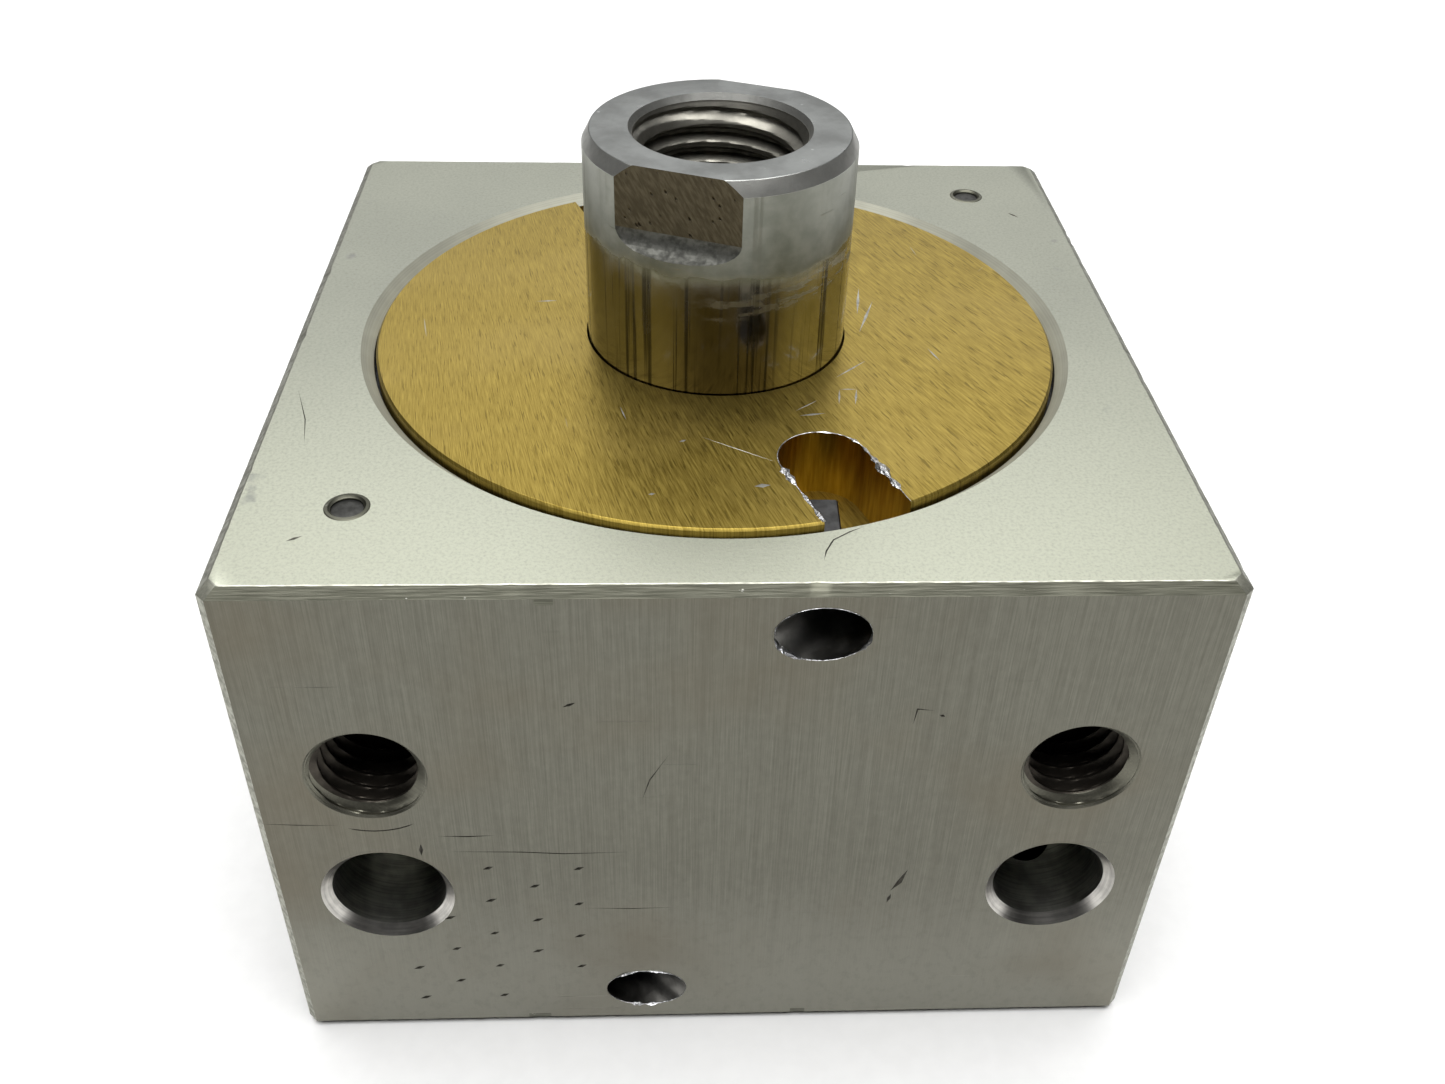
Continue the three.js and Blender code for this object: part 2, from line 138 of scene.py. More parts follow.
# Rod, piston and nut. Heights in these, and the sides of the grooves, are above the piston's lower face
ROD_RADIUS = 12.6
SOCKET_START = 0.6
SPIGOT = {"radius": 7.9, "start": 0.8, "chamfer": 0.7}
ROD_CHAMFER = {"inset": 0.7, "height": 1.3}
ROD_THREAD = {"major": 8.0, "minor": 6.95, "pitch": 2.0, "mouth": 8.4, "depth": 22}
FLAT_DISTANCE = 11.15
FLAT_LENGTH = 5.8
FLAT_RUNOUT = 2.0
FLAT_ANGLES = (-111, 69)
PISTON = {"height": 13, "radius": 31.2, "floor": 28.5, "bore": 8.0, "recess": 15.5, "recess_depth": 8}
GUIDE_GROOVE = (1.6, 5.4)
SEAL_GROOVE = (7.2, 11.4)
ROD_RING_GROOVE = (9.6, 11.8, 10.1)
NUT = {"low": 1.2, "high": 7.8, "corner": 13.86, "flat": 12.0, "bore": 8.0, "chamfer": 0.9}

# A scratch's depth as a share of its width, and how far its tool stands out of the face
SCRATCH_DEPTH = 0.35
SCRATCH_ABOVE = 0.3

# Small dents in the front face. A column is its x, its highest dent's height, and how many there are
DENT_STEP = 4.87
DENT_STRAY = 0.15
DENT_WIDTH = 0.42
DENT_HALF_LENGTHS = (0.45, 0.6)
DENT_COLUMNS = ((-28.9, 9.3, 2), (-25.1, 17.0, 3), (-21.2, 24.2, 5), (-17.3, 21.3, 3), (-13.2, 23.7, 4))

# Pale scuffs on the gland: start, end, width
SCUFF_THICKNESS = 0.015
SCUFFS = (
    ((15.2, 8.3), (14.4, 2.7), 0.3), ((16.3, 5.5), (14.2, -0.9), 0.3),
    ((10.9, -9.6), (14.2, -6.4), 0.22), ((11.1, -11.6), (12.7, -11.6), 0.2),
    ((12.7, -11.6), (12.3, -14.2), 0.24), ((10.8, -14.2), (11.1, -11.6), 0.2),
    ((-18.1, 5.2), (-15.9, 5.4), 0.25), ((2.3, -27.0), (3.7, -26.8), 0.55),
    ((-3.9, -20.3), (-3.3, -20.0), 0.3), ((-6.6, -28.1), (-6.0, -28.0), 0.3),
    ((-9.2, -14.6), (-8.6, -16.8), 0.14), ((6.7, -15.3), (8.9, -13.5), 0.14),
    ((7.0, -16.1), (9.4, -15.7), 0.3), ((-2.0, -19.5), (4.5, -23.5), 0.1),
    ((20.5, -4.0), (21.4, -6.5), 0.2),
)

# Burrs: a thin thread of metal, and its lumps as (place, spread, size), the first two as shares of the edge
BURR_WIDTH = 0.06
SLOT_LUMPS = (
    (0.07, 0.02, 0.45), (0.105, 0.015, 0.3), (0.13, 0.02, 0.6), (0.165, 0.015, 0.3),
    (0.21, 0.02, 0.2), (0.28, 0.03, 0.2), (0.4, 0.03, 0.14), (0.79, 0.02, 0.6),
    (0.825, 0.02, 0.45), (0.9, 0.03, 0.16), (0.97, 0.03, 0.25),
)
UPPER_FEED_LUMPS = (
    (0.0, 0.06, 0.4), (0.93, 0.04, 0.3), (0.5, 0.05, 0.4), (0.57, 0.04, 0.6), (0.64, 0.05, 0.4),
)
LOWER_FEED_LUMPS = ((0.2, 0.06, 0.16), (0.34, 0.05, 0.2), (0.71, 0.02, 0.34), (0.77, 0.02, 0.34))

# How many sides a round shape has, and how sharp an edge shows
ROUND = 192
FINE_ROUND = 96
SMALL_ROUND = 48
SHARP = math.radians(20)


# ---- meshes


def mesh_object(name, points, faces, finishes, face_finish=None):
    """A mesh from points in millimetres, smooth but for its sharp edges. Where there are several finishes,
    face_finish names a face's own."""
    mesh = bpy.data.meshes.new(name)
    mesh.from_pydata([Vector(p) * MM for p in points], [], faces)
    obj = bpy.data.objects.new(name, mesh)
    bpy.context.scene.collection.objects.link(obj)
    for finish in finishes:
        mesh.materials.append(MATERIALS[finish])
    if face_finish:
        for polygon in mesh.polygons:
            polygon.material_index = finishes.index(face_finish(polygon))
    return finish_mesh(obj)


def finish_mesh(obj):
    """Points joined, faces out, smooth shading, and sharp edges where the surface turns."""
    work = bmesh.new()
    work.from_mesh(obj.data)
    bmesh.ops.remove_doubles(work, verts=work.verts, dist=1e-7)
    bmesh.ops.recalc_face_normals(work, faces=work.faces)
    for face in work.faces:
        face.smooth = True
    for edge in work.edges:
        edge.smooth = len(edge.link_faces) == 2 and edge.calc_face_angle(0) < SHARP
    work.to_mesh(obj.data)
    work.free()
    return obj


def carve(obj, tools):
    """Cuts the tools out of obj. The new faces take the tools' materials."""
    for tool in tools:
        modifier = obj.modifiers.new("cut", "BOOLEAN")
        modifier.operation = "DIFFERENCE"
        modifier.solver = "EXACT"
        modifier.material_mode = "TRANSFER"
        modifier.object = tool
    bpy.context.view_layer.update()
    evaluated = obj.evaluated_get(bpy.context.evaluated_depsgraph_get())
    mesh = bpy.data.meshes.new_from_object(evaluated)
    obj.modifiers.clear()
    obj.data = mesh
    for tool in tools:
        bpy.data.objects.remove(tool)
    return finish_mesh(obj)


def filleted(outline, steps=6):
    """The outline with an arc at each corner that has a third value, the arc's radius."""
    points = []
    for i, corner in enumerate(outline):
        here = Vector(corner[:2])
        if len(corner) == 2 or not 0 < i < len(outline) - 1:
            points.append(here)
            continue
        before = (Vector(outline[i - 1][:2]) - here).normalized()
        after = (Vector(outline[i + 1][:2]) - here).normalized()
        half = before.angle(after) / 2
        centre = here + (before + after).normalized() * corner[2] / math.sin(half)
        start = here + before * corner[2] / math.tan(half) - centre
        end = here + after * corner[2] / math.tan(half) - centre
        for step in range(steps + 1):
            points.append(centre + start.slerp(end, step / steps, start).normalized() * corner[2])
    return points


def around(radius, height, count):
    """Points round Z at one height. The radius may be a function of the angle."""
    points = []
    for k in range(count):
        angle = math.tau * k / count
        reach = radius(angle) if callable(radius) else radius
        points.append((reach * math.cos(angle), reach * math.sin(angle), height))
    return points


def walls(rows, size, closed=False):
    """Faces between rows of points, and a face at each end unless the last row joins the first."""
    faces = []
    for i in range(rows if closed else rows - 1):
        low, high = i * size, (i + 1) % rows * size
        for k in range(size):
            after = (k + 1) % size
            faces.append([low + k, low + after, high + after, high + k])
    if not closed:
        faces += [list(range(size))[::-1], list(range((rows - 1) * size, rows * size))]
    return faces


def revolve(name, outline, finish, segments=ROUND, closed=False, base=0.0):
    """A solid turned about Z from (radius, height) points, which end on the axis or close on themselves.
    Heights are measured from the base."""
    profile = filleted(outline)
    points = []
    for radius, height in profile:
        points += around(radius, base + height, segments)
    return mesh_object(name, points, walls(len(profile), segments, closed), [finish])


def ring(name, inner, outer, low, high, finish, edge=0.2):
    """A plain ring, with three of its four corners rounded."""
    rounded = [(outer, low, edge), (outer, high, edge), (inner, high, edge)]
    return revolve(name, [(inner + edge, low), *rounded, (inner, low)], finish, closed=True)


def moved(obj, matrix):
    obj.data.transform(matrix)
    return obj


def raised(obj, height):
    return moved(obj, Matrix.Translation((0, 0, height * MM)))


def spun(obj, degrees, axis="Z"):
    return moved(obj, Matrix.Rotation(math.radians(degrees), 4, axis))


def turned_to(obj, start, direction):
    """Moves a mesh drawn up from the origin along Z, so that it starts at a point and runs in a direction."""
    turn = Vector((0, 0, 1)).rotation_difference(Vector(direction)).to_matrix().to_4x4()
    return moved(obj, Matrix.Translation(Vector(start) * MM) @ turn)


def drill(start, direction, outline, finish, segments=FINE_ROUND):
    """A tool for a hole: a turned outline of (radius, depth) points, from a point in a direction."""
    return turned_to(revolve("tool", outline, finish, segments), start, direction)


def prism(name, outline, low, high, finishes, turn=0):
    """A plane outline carried from one height to another. The finishes are the sides' and the ends'."""
    points = [(x, y, z) for z in (low, high) for x, y in outline]

    def side_or_end(polygon):
        return finishes[0] if abs(polygon.normal.z) < 0.5 else finishes[-1]

    return spun(mesh_object(name, points, walls(2, len(outline)), finishes, side_or_end), turn)


def arc(centre, radius, start, end, steps):
    """Points on an arc, between two angles in degrees."""
    angles = [math.radians(start + (end - start) * k / steps) for k in range(steps + 1)]
    return [Vector((centre[0] + radius * math.cos(a), centre[1] + radius * math.sin(a))) for a in angles]


def sweep(name, path, section, finish, close_path=False):
    """A closed section of (across, up) points carried along a path of 3-D points."""
    count = len(path)
    points = []
    for i, here in enumerate(path):
        before = path[(i - 1) % count] if close_path or i else here
        after = path[(i + 1) % count] if close_path or i < count - 1 else here
        ahead = (after - before).normalized()
        across = Vector((ahead.y, -ahead.x, 0)).normalized()
        outline = section(i / count) if callable(section) else section
        points += [here + across * a + Vector((0, 0, u)) for a, u in outline]
    return mesh_object(name, points, walls(count, len(outline), close_path), [finish])


def thread_sleeve(name, thread, finishes, start=0.2, slope=1.0, columns=72, rows_per_turn=16):
    """The wall of a threaded hole, drawn down from its mouth at the origin: a helical ridge, cut away by
    the mouth's countersink, inside a plain cylinder. The finishes are the thread's and the countersink's."""
    major, minor, pitch, depth = (thread[key] for key in ("major", "minor", "pitch", "depth"))
    rows = int((depth - start) / pitch * rows_per_turn)
    outer = major + THREAD_WALL

    def inner(down, angle):
        phase = (down / pitch + angle / math.tau) % 1
        ridge = min(1, max(0, 1.35 - abs(phase - 0.5) * 3.2))
        countersink = thread["mouth"] - slope * down
        return max(major - (major - minor) * ridge, min(outer - 0.02, countersink))

    points = []
    for row in range(rows + 1):
        down = start + (depth - start) * row / rows
        points += around(lambda angle: inner(down, angle), -down, columns)
    points += around(outer, -depth, columns) + around(outer, -start, columns)
    lead = (thread["mouth"] - minor) / slope

    def thread_or_countersink(polygon):
        return finishes[0] if polygon.center.z / MM < -lead else finishes[-1]

    return mesh_object(name, points, walls(rows + 3, columns, closed=True), finishes, thread_or_countersink)


# ---- materials


class Surface:
    """A principled material whose fields are worked out from the model's own coordinates, in millimetres."""

    def __init__(self, name, colour, roughness, metallic=1.0):
        self.material = bpy.data.materials.new(name)
        self.material.use_nodes = True
        self.tree = self.material.node_tree
        self.shader = self.tree.nodes["Principled BSDF"]
        self.shader.inputs["Base Color"].default_value = (*colour, 1)
        self.shader.inputs["Roughness"].default_value = roughness
        self.shader.inputs["Metallic"].default_value = metallic
        self.place = self.node("ShaderNodeTexCoord").outputs["Object"]

    def node(self, kind, **settings):
        made = self.tree.nodes.new(kind)
        for key, value in settings.items():
            setattr(made, key, value)
        return made

    def feed(self, socket, value):
        if isinstance(value, bpy.types.NodeSocket):
            self.tree.links.new(value, socket)
        else:
            socket.default_value = value

    def maths(self, operation, first, second=0.0):
        made = self.node("ShaderNodeMath", operation=operation)
        self.feed(made.inputs[0], first)
        self.feed(made.inputs[1], second)
        return made.outputs[0]

    def times(self, first, second):
        return self.maths("MULTIPLY", first, second)

    def plus(self, first, second):
        return self.maths("ADD", first, second)

    def minus(self, first, second):
        return self.maths("SUBTRACT", first, second)

    def apart(self, first, second):
        return self.maths("ABSOLUTE", self.minus(first, second))

    def stretched(self, scale, turn=0.0, vector=None):
        """Coordinates in millimetres, turned about Z and scaled, so that a small scale draws long marks."""
        if not isinstance(scale, tuple):
            scale = (scale, scale, scale)
        turned = self.node("ShaderNodeVectorRotate", rotation_type="Z_AXIS")
        self.feed(turned.inputs["Vector"], vector or self.place)
        turned.inputs["Angle"].default_value = -math.radians(turn)
        scaled = self.node("ShaderNodeVectorMath", operation="MULTIPLY")
        self.feed(scaled.inputs[0], turned.outputs[0])
        scaled.inputs[1].default_value = [s / MM for s in scale]
        return scaled.outputs[0]

    def parts(self):
        made = self.node("ShaderNodeSeparateXYZ")
        self.feed(made.inputs[0], self.place)
        return [self.times(axis, 1 / MM) for axis in made.outputs]

    def joined(self, **axes):
        """Coordinates from values in millimetres, zero along an axis that isn't named."""
        made = self.node("ShaderNodeCombineXYZ")
        for axis, value in axes.items():
            self.feed(made.inputs[axis], self.times(value, MM))
        return made.outputs[0]

    def round_place(self):
        """Coordinates (distance from Z, 0, height), the same all round the axis."""
        x, y, z = self.parts()
        return self.joined(X=self.maths("SQRT", self.plus(self.times(x, x), self.times(y, y))), Z=z)

    def noise(self, scale, detail=3.0, roughness=0.55, seed=0.0, turn=0.0, vector=None):
        made = self.node("ShaderNodeTexNoise", noise_dimensions="4D")
        self.feed(made.inputs["Vector"], self.stretched(scale, turn, vector))
        made.inputs["W"].default_value = seed
        made.inputs["Scale"].default_value = 1.0
        made.inputs["Detail"].default_value = detail
        made.inputs["Roughness"].default_value = roughness
        return made.outputs["Fac"]

    def between(self, value, low, high, out_low=0.0, out_high=1.0):
        """A smooth step from one value to another."""
        made = self.node("ShaderNodeMapRange", interpolation_type="SMOOTHSTEP")
        self.feed(made.inputs["Value"], value)
        for socket, number in zip(list(made.inputs)[1:5], (low, high, out_low, out_high)):
            socket.default_value = number
        return made.outputs[0]

    def spots(self, scale, share, size, seed=0.0, vector=None):
        """Small round spots in a share of the cells, each of a size that is a part of its cell."""
        made = self.node("ShaderNodeTexVoronoi", voronoi_dimensions="4D")
        self.feed(made.inputs["Vector"], self.stretched(scale, vector=vector))
        made.inputs["W"].default_value = seed
        made.inputs["Scale"].default_value = 1.0
        spot = self.between(made.outputs["Distance"], size, size * 0.4)
        pick = self.node("ShaderNodeSeparateColor")
        self.feed(pick.inputs[0], made.outputs["Color"])
        return self.times(spot, self.maths("LESS_THAN", pick.outputs[0], share))

    def blend(self, factor, first, second):
        made = self.node("ShaderNodeMix", data_type="RGBA")
        self.feed(made.inputs["Factor"], factor)
        for socket, colour in ((made.inputs["A"], first), (made.inputs["B"], second)):
            self.feed(socket, (*colour, 1) if isinstance(colour, tuple) else colour)
        return made.outputs["Result"]

    def stain(self, tint, amount, share, colour):
        """The tint, with a colour over it by a share of an amount."""
        return self.blend(self.times(amount, share), tint, colour)

    def colour(self, value):
        self.feed(self.shader.inputs["Base Color"], value)

    def roughness(self, value):
        self.feed(self.shader.inputs["Roughness"], value)

    def bumps(self, *layers):
        """Height fields, each with its depth in millimetres."""
        normal = None
        for height, depth in layers:
            made = self.node("ShaderNodeBump")
            made.inputs["Distance"].default_value = depth * MM
            self.feed(made.inputs["Height"], height)
            if normal:
                self.feed(made.inputs["Normal"], normal)
            normal = made.outputs[0]
        self.feed(self.shader.inputs["Normal"], normal)


ALUMINIUM = (0.36, 0.36, 0.30)
# The sides' aluminium is darker than the top's: painted shade, for upright faces that get less light than the
# top
SHADED_SIDE_ALUMINIUM = (0.27, 0.265, 0.225)
DIRT = (0.10, 0.095, 0.08)
BRIGHT = (0.75, 0.76, 0.76)
GOLD = (0.34, 0.235, 0.055)
DEEP_GOLD = (0.25, 0.13, 0.012)


def shade(colour, share):
    return tuple(c * share for c in colour)


def top_grain():
    """The body's flat ends: fine matt grain, faint round tool marks, and a few dark stains."""
    s = Surface("body_top_grain_painted_sheen", ALUMINIUM, 0.42)
    grain = s.noise(3.4, detail=4, roughness=0.65)
    cloud = s.noise(0.05)
    marks = s.noise((7, 1, 1), vector=s.round_place(), detail=1, seed=2)
    shown = s.between(s.noise(0.045, seed=5), 0.5, 0.62)
    stains = s.between(s.noise(0.22, detail=4, seed=8), 0.66, 0.76)
    tint = s.blend(s.between(cloud, 0.3, 0.7), (0.375, 0.385, 0.325), (0.42, 0.43, 0.36))
    # Painted sheen: the flat ends grow paler toward the front (-Y), light painted into their colour
    _, y, _ = s.parts()
    tint = s.blend(s.between(y, 10, -42), tint, (0.61, 0.63, 0.515))
    tint = s.stain(tint, s.between(grain, 0.4, 0.75), 0.4, (0.24, 0.245, 0.2))
    s.colour(s.stain(tint, stains, 0.5, (0.17, 0.17, 0.19)))
    s.roughness(s.between(grain, 0.2, 0.8, 0.36, 0.5))
    s.bumps((grain, 0.012), (s.times(marks, shown), 0.008))
    return s.material


def side_brushed():
    """The body's sides: brushed upwards, with dark streaks, level scratches and small dents."""
    s = Surface("body_side_brushed_painted_light", SHADED_SIDE_ALUMINIUM, 0.4)
    brush = s.noise((9, 9, 0.12), detail=4, roughness=0.7)
    broad = s.noise((0.9, 0.9, 0.012), detail=4, seed=3)
    fine = s.noise((0.05, 0.05, 3.5), detail=2, seed=6)
    scratch = s.between(fine, 0.7, 0.76)
    dents = s.spots(0.5, 0.1, 0.1, seed=4)
    # These tones, far darker than the top's, are painted shade laid over the real brushed streaks
    tint = s.blend(s.between(brush, 0.3, 0.7), (0.12, 0.117, 0.094), (0.178, 0.175, 0.143))
    tint = s.stain(tint, s.between(broad, 0.45, 0.75), 0.35, (0.105, 0.1, 0.08))
    tint = s.stain(tint, scratch, 0.5, (0.07, 0.066, 0.055))
    # Painted reflection: the sides grow paler toward the bottom, standing in for the lit floor that they
    # reflect
    _, _, z = s.parts()
    tint = s.blend(s.between(z, 26, 2, 0, 0.62), tint, (0.30, 0.295, 0.25))
    mottle = s.noise((1.1, 1.1, 0.8), detail=5, roughness=0.7, seed=14)
    tint = s.stain(tint, s.between(mottle, 0.45, 0.7), 0.18, (0.09, 0.088, 0.07))
    tint = s.stain(tint, s.between(mottle, 0.5, 0.3), 0.16, (0.21, 0.208, 0.172))
    warm = s.noise(0.04, seed=16)
    tint = s.stain(tint, s.between(warm, 0.45, 0.7), 0.5, (0.135, 0.115, 0.08))
    s.colour(s.stain(tint, dents, 0.6, DIRT))
    s.roughness(s.between(brush, 0.2, 0.8, 0.32, 0.48))
    dips = s.minus(1.0, s.maths("MAXIMUM", dents, scratch))
    s.bumps((brush, 0.01), (dips, 0.06))
    return s.material


def edge_metal():
    """Chamfered edges: rough, with bright nicks."""
    s = Surface("body_edge", SHADED_SIDE_ALUMINIUM, 0.45)
    fibre = s.noise((0.25, 0.25, 8))
    nicks = s.between(s.noise((0.8, 0.8, 1.6), detail=4, seed=9), 0.66, 0.72)
    tint = s.blend(s.between(fibre, 0.35, 0.65), (0.1, 0.1, 0.077), (0.16, 0.16, 0.126))
    s.colour(s.blend(nicks, tint, (0.4, 0.4, 0.36)))
    s.bumps((fibre, 0.02), (nicks, 0.02))
    return s.material


def turned(name, colour, roughness, depth=0.006, metallic=1.0):
    """Metal turned in a lathe: fine rings round Z."""
    s = Surface(name, colour, roughness, metallic)
    rings = s.noise((6, 1, 6), vector=s.round_place())
    cloud = s.noise(0.15, seed=2)
    s.colour(s.blend(s.between(s.plus(rings, cloud), 0.7, 1.3), shade(colour, 0.72), colour))
    s.bumps((rings, depth))
    return s.material


def polished_cut(name, colour, roughness):
    """A cut surface with a polish, and slight smears."""
    s = Surface(name, colour, roughness)
    smear = s.noise(0.7)
    s.colour(s.blend(s.between(smear, 0.4, 0.7), colour, shade(colour, 0.7)))
    s.roughness(s.between(smear, 0.3, 0.7, roughness * 0.8, roughness * 1.3))
    return s.material


def bored_wall(name, colour, roughness):
    """The wall of a hole along Y: fine rings left by the tool, over soft smears."""
    s = Surface(name, colour, roughness)
    rings = s.noise((0.2, 5, 0.2))
    smear = s.noise(0.5, seed=2)
    s.colour(s.blend(s.between(s.plus(rings, smear), 0.75, 1.25), shade(colour, 0.55), colour))
    s.bumps((rings, 0.012))
    return s.material


def gold_brushed():
    """Gold-anodised top of the gland: finely brushed in slightly fanned lines, with a few pale scuffs."""
    s = Surface("gold_brushed", GOLD, 0.36)
    x, y, _ = s.parts()
    fan = s.maths("LOGARITHM", s.plus(s.times(x, 0.0064), 0.325), math.e)
    across = s.times(s.plus(s.times(fan, 156), y), 0.31)
    lanes = s.joined(X=across, Y=y)
    brush = s.noise((6.5, 0.35, 1), vector=lanes, detail=4, roughness=0.65)
    lines = s.noise((4.2, 0.4, 1), vector=lanes, detail=2, seed=3)
    cloud = s.noise(0.06, seed=5)
    tint = s.blend(s.between(brush, 0.3, 0.7), (0.25, 0.175, 0.03), (0.49, 0.365, 0.085))
    tint = s.stain(tint, s.between(cloud, 0.4, 0.7), 0.3, (0.46, 0.345, 0.11))
    tint = s.stain(tint, s.between(lines, 0.57, 0.66), 0.6, (0.13, 0.09, 0.018))
    bare = s.spots(0.45, 0.08, 0.09, seed=3)
    for seed, turn in enumerate((75, -35, 118, 10)):
        thread = s.noise((2.6, 0.1, 1), turn=turn, detail=1, seed=10 + seed)
        patch = s.noise(0.09, detail=1, seed=20 + seed)
        mark = s.times(s.between(thread, 0.76, 0.79), s.between(patch, 0.55, 0.62))
        bare = s.maths("MAXIMUM", bare, mark)
    s.colour(s.stain(tint, bare, 0.7, (0.55, 0.52, 0.42)))
    s.roughness(s.between(brush, 0.2, 0.8, 0.34, 0.44))
    s.bumps((brush, 0.004), (s.minus(1.0, bare), 0.015))
    return s.material


def gold_wall():
    """Milled and anodised slot walls, a deep gold."""
    s = Surface("gold_wall", DEEP_GOLD, 0.3)
    mill = s.noise((2.5, 2.5, 0.2))
    s.colour(s.blend(s.between(mill, 0.3, 0.75), (0.36, 0.22, 0.03), (0.60, 0.42, 0.09)))
    s.bumps((mill, 0.006))
    return s.material


def bare_burr():
    s = Surface("bare_burr", BRIGHT, 0.3)
    lumps = s.noise(3, detail=4)
    s.colour(s.blend(s.between(lumps, 0.35, 0.6), (0.45, 0.45, 0.45), (0.85, 0.86, 0.88)))
    s.bumps((lumps, 0.15))
    return s.material


def rod_surface():
    """Hard-chromed rod: mirror with a painted reflection and dark streaks below, satin and stained above."""
    s = Surface("rod_chrome_painted_reflection", (0.5, 0.5, 0.48), 0.12)
    x, _, z = s.parts()
    waves = s.noise(0.13, seed=1)
    edge = s.plus(z, s.times(s.minus(waves, 0.5), 4.0))
    satin = s.between(edge, HEIGHT + 11.3, HEIGHT + 11.9)
    streaks = s.noise((2.4, 2.4, 0.035), seed=4)
    broad = s.noise((0.42, 0.42, 0.02), seed=7)
    dark = s.times(s.between(streaks, 0.5, 0.62), s.between(broad, 0.4, 0.54))
    haze = s.noise(0.5, detail=4, seed=9)
    # Painted reflection: a dark band down the middle near x = 1 and a bright flank toward +X, painted in the
    # model's coordinates, so they turn with the rod
    middle = s.between(s.apart(x, 1.0), 2.0, 8.5)
    plain = s.blend(middle, (0.19, 0.17, 0.145), (0.48, 0.46, 0.4))
    plain = s.blend(s.between(x, 3.5, 9), plain, (0.85, 0.82, 0.7))
    chrome = s.stain(plain, dark, 0.8, (0.035, 0.03, 0.022))
    frosted = s.blend(s.between(haze, 0.35, 0.7), (0.20, 0.205, 0.175), (0.27, 0.275, 0.24))
    band = s.between(s.apart(edge, HEIGHT + 11.4), 0.9, 0.1)
    tint = s.blend(satin, chrome, frosted)
    tint = s.stain(tint, band, 0.55, (0.30, 0.29, 0.22))
    tilt = s.minus(z, s.times(x, 0.12))
    smudge = s.between(s.apart(tilt, HEIGHT + 8.6), 1.6, 0.6)
    torn = s.between(s.noise((0.35, 0.35, 1.6), detail=4, seed=15), 0.42, 0.6)
    smudge = s.times(s.times(smudge, torn), s.between(x, -4, 0))
    rough = s.plus(s.between(satin, 0, 1, 0.1, 0.3), s.between(haze, 0.3, 0.8, 0.0, 0.1))
    rough = s.plus(rough, s.times(smudge, 0.25))
    s.colour(s.stain(tint, smudge, 0.7, (0.17, 0.155, 0.10)))
    s.roughness(s.plus(rough, s.times(dark, 0.12)))
    scratches = s.between(s.noise((0.15, 0.15, 3), detail=2, seed=12), 0.7, 0.74)
    s.bumps((haze, 0.01), (s.times(scratches, satin), 0.02))
    return s.material


def rod_end_steel():
    """Turned, unplated steel: blue-grey, with coarse rings and dark smears."""
    s = Surface("rod_end_steel", (0.45, 0.46, 0.44), 0.36)
    rings = s.noise((2.2, 1, 2.2), vector=s.round_place())
    smear = s.noise(0.25, detail=4, seed=3)
    nicks = s.spots(0.9, 0.06, 0.2, seed=2)
    tint = s.blend(s.between(smear, 0.35, 0.7), (0.28, 0.29, 0.28), (0.2, 0.206, 0.198))
    s.colour(s.stain(tint, nicks, 0.7, (0.6, 0.6, 0.6)))
    s.roughness(s.between(smear, 0.3, 0.7, 0.26, 0.4))
    s.bumps((rings, 0.02), (smear, 0.05))
    return s.material


def rod_flat_steel():
    """Milled wrench flat: brown-grey, slanting cutter lines and dark pits."""
    s = Surface("rod_flat_steel", (0.13, 0.115, 0.085), 0.42)
    leaning = s.node("ShaderNodeVectorRotate", rotation_type="Y_AXIS")
    s.feed(leaning.inputs["Vector"], s.place)
    leaning.inputs["Angle"].default_value = math.radians(35)
    lines = s.noise((3.5, 3.5, 0.6), vector=leaning.outputs[0])
    pits = s.spots((2.4, 2.4, 1.0), 0.55, 0.3, seed=6, vector=leaning.outputs[0])
    tint = s.blend(s.between(lines, 0.35, 0.7), (0.075, 0.062, 0.04), (0.12, 0.102, 0.068))
    s.colour(s.stain(tint, pits, 0.85, (0.02, 0.016, 0.01)))
    s.bumps((lines, 0.03), (s.minus(1.0, pits), 0.12))
    return s.material


def grimy(name, colour, roughness, metallic=1.0, size=0.8):
    """Dull metal or rubber with soft patches of wear and dirt."""
    s = Surface(name, colour, roughness, metallic)
    patches = s.noise(size, detail=4)
    fine = s.noise(6, detail=2, seed=2)
    s.colour(s.blend(s.between(patches, 0.35, 0.7), colour, shade(colour, 0.55)))
    s.roughness(s.between(patches, 0.3, 0.7, roughness * 0.85, min(1.0, roughness * 1.2)))
    s.bumps((fine, 0.012))
    return s.material


def floor_paper():
    s = Surface("floor_paper", (0.86, 0.86, 0.855), 0.9, 0.0)
    fibre = s.noise(0.4)
    s.colour(s.blend(s.between(fibre, 0.3, 0.7), (0.85, 0.85, 0.845), (0.875, 0.875, 0.87)))
    return s.material


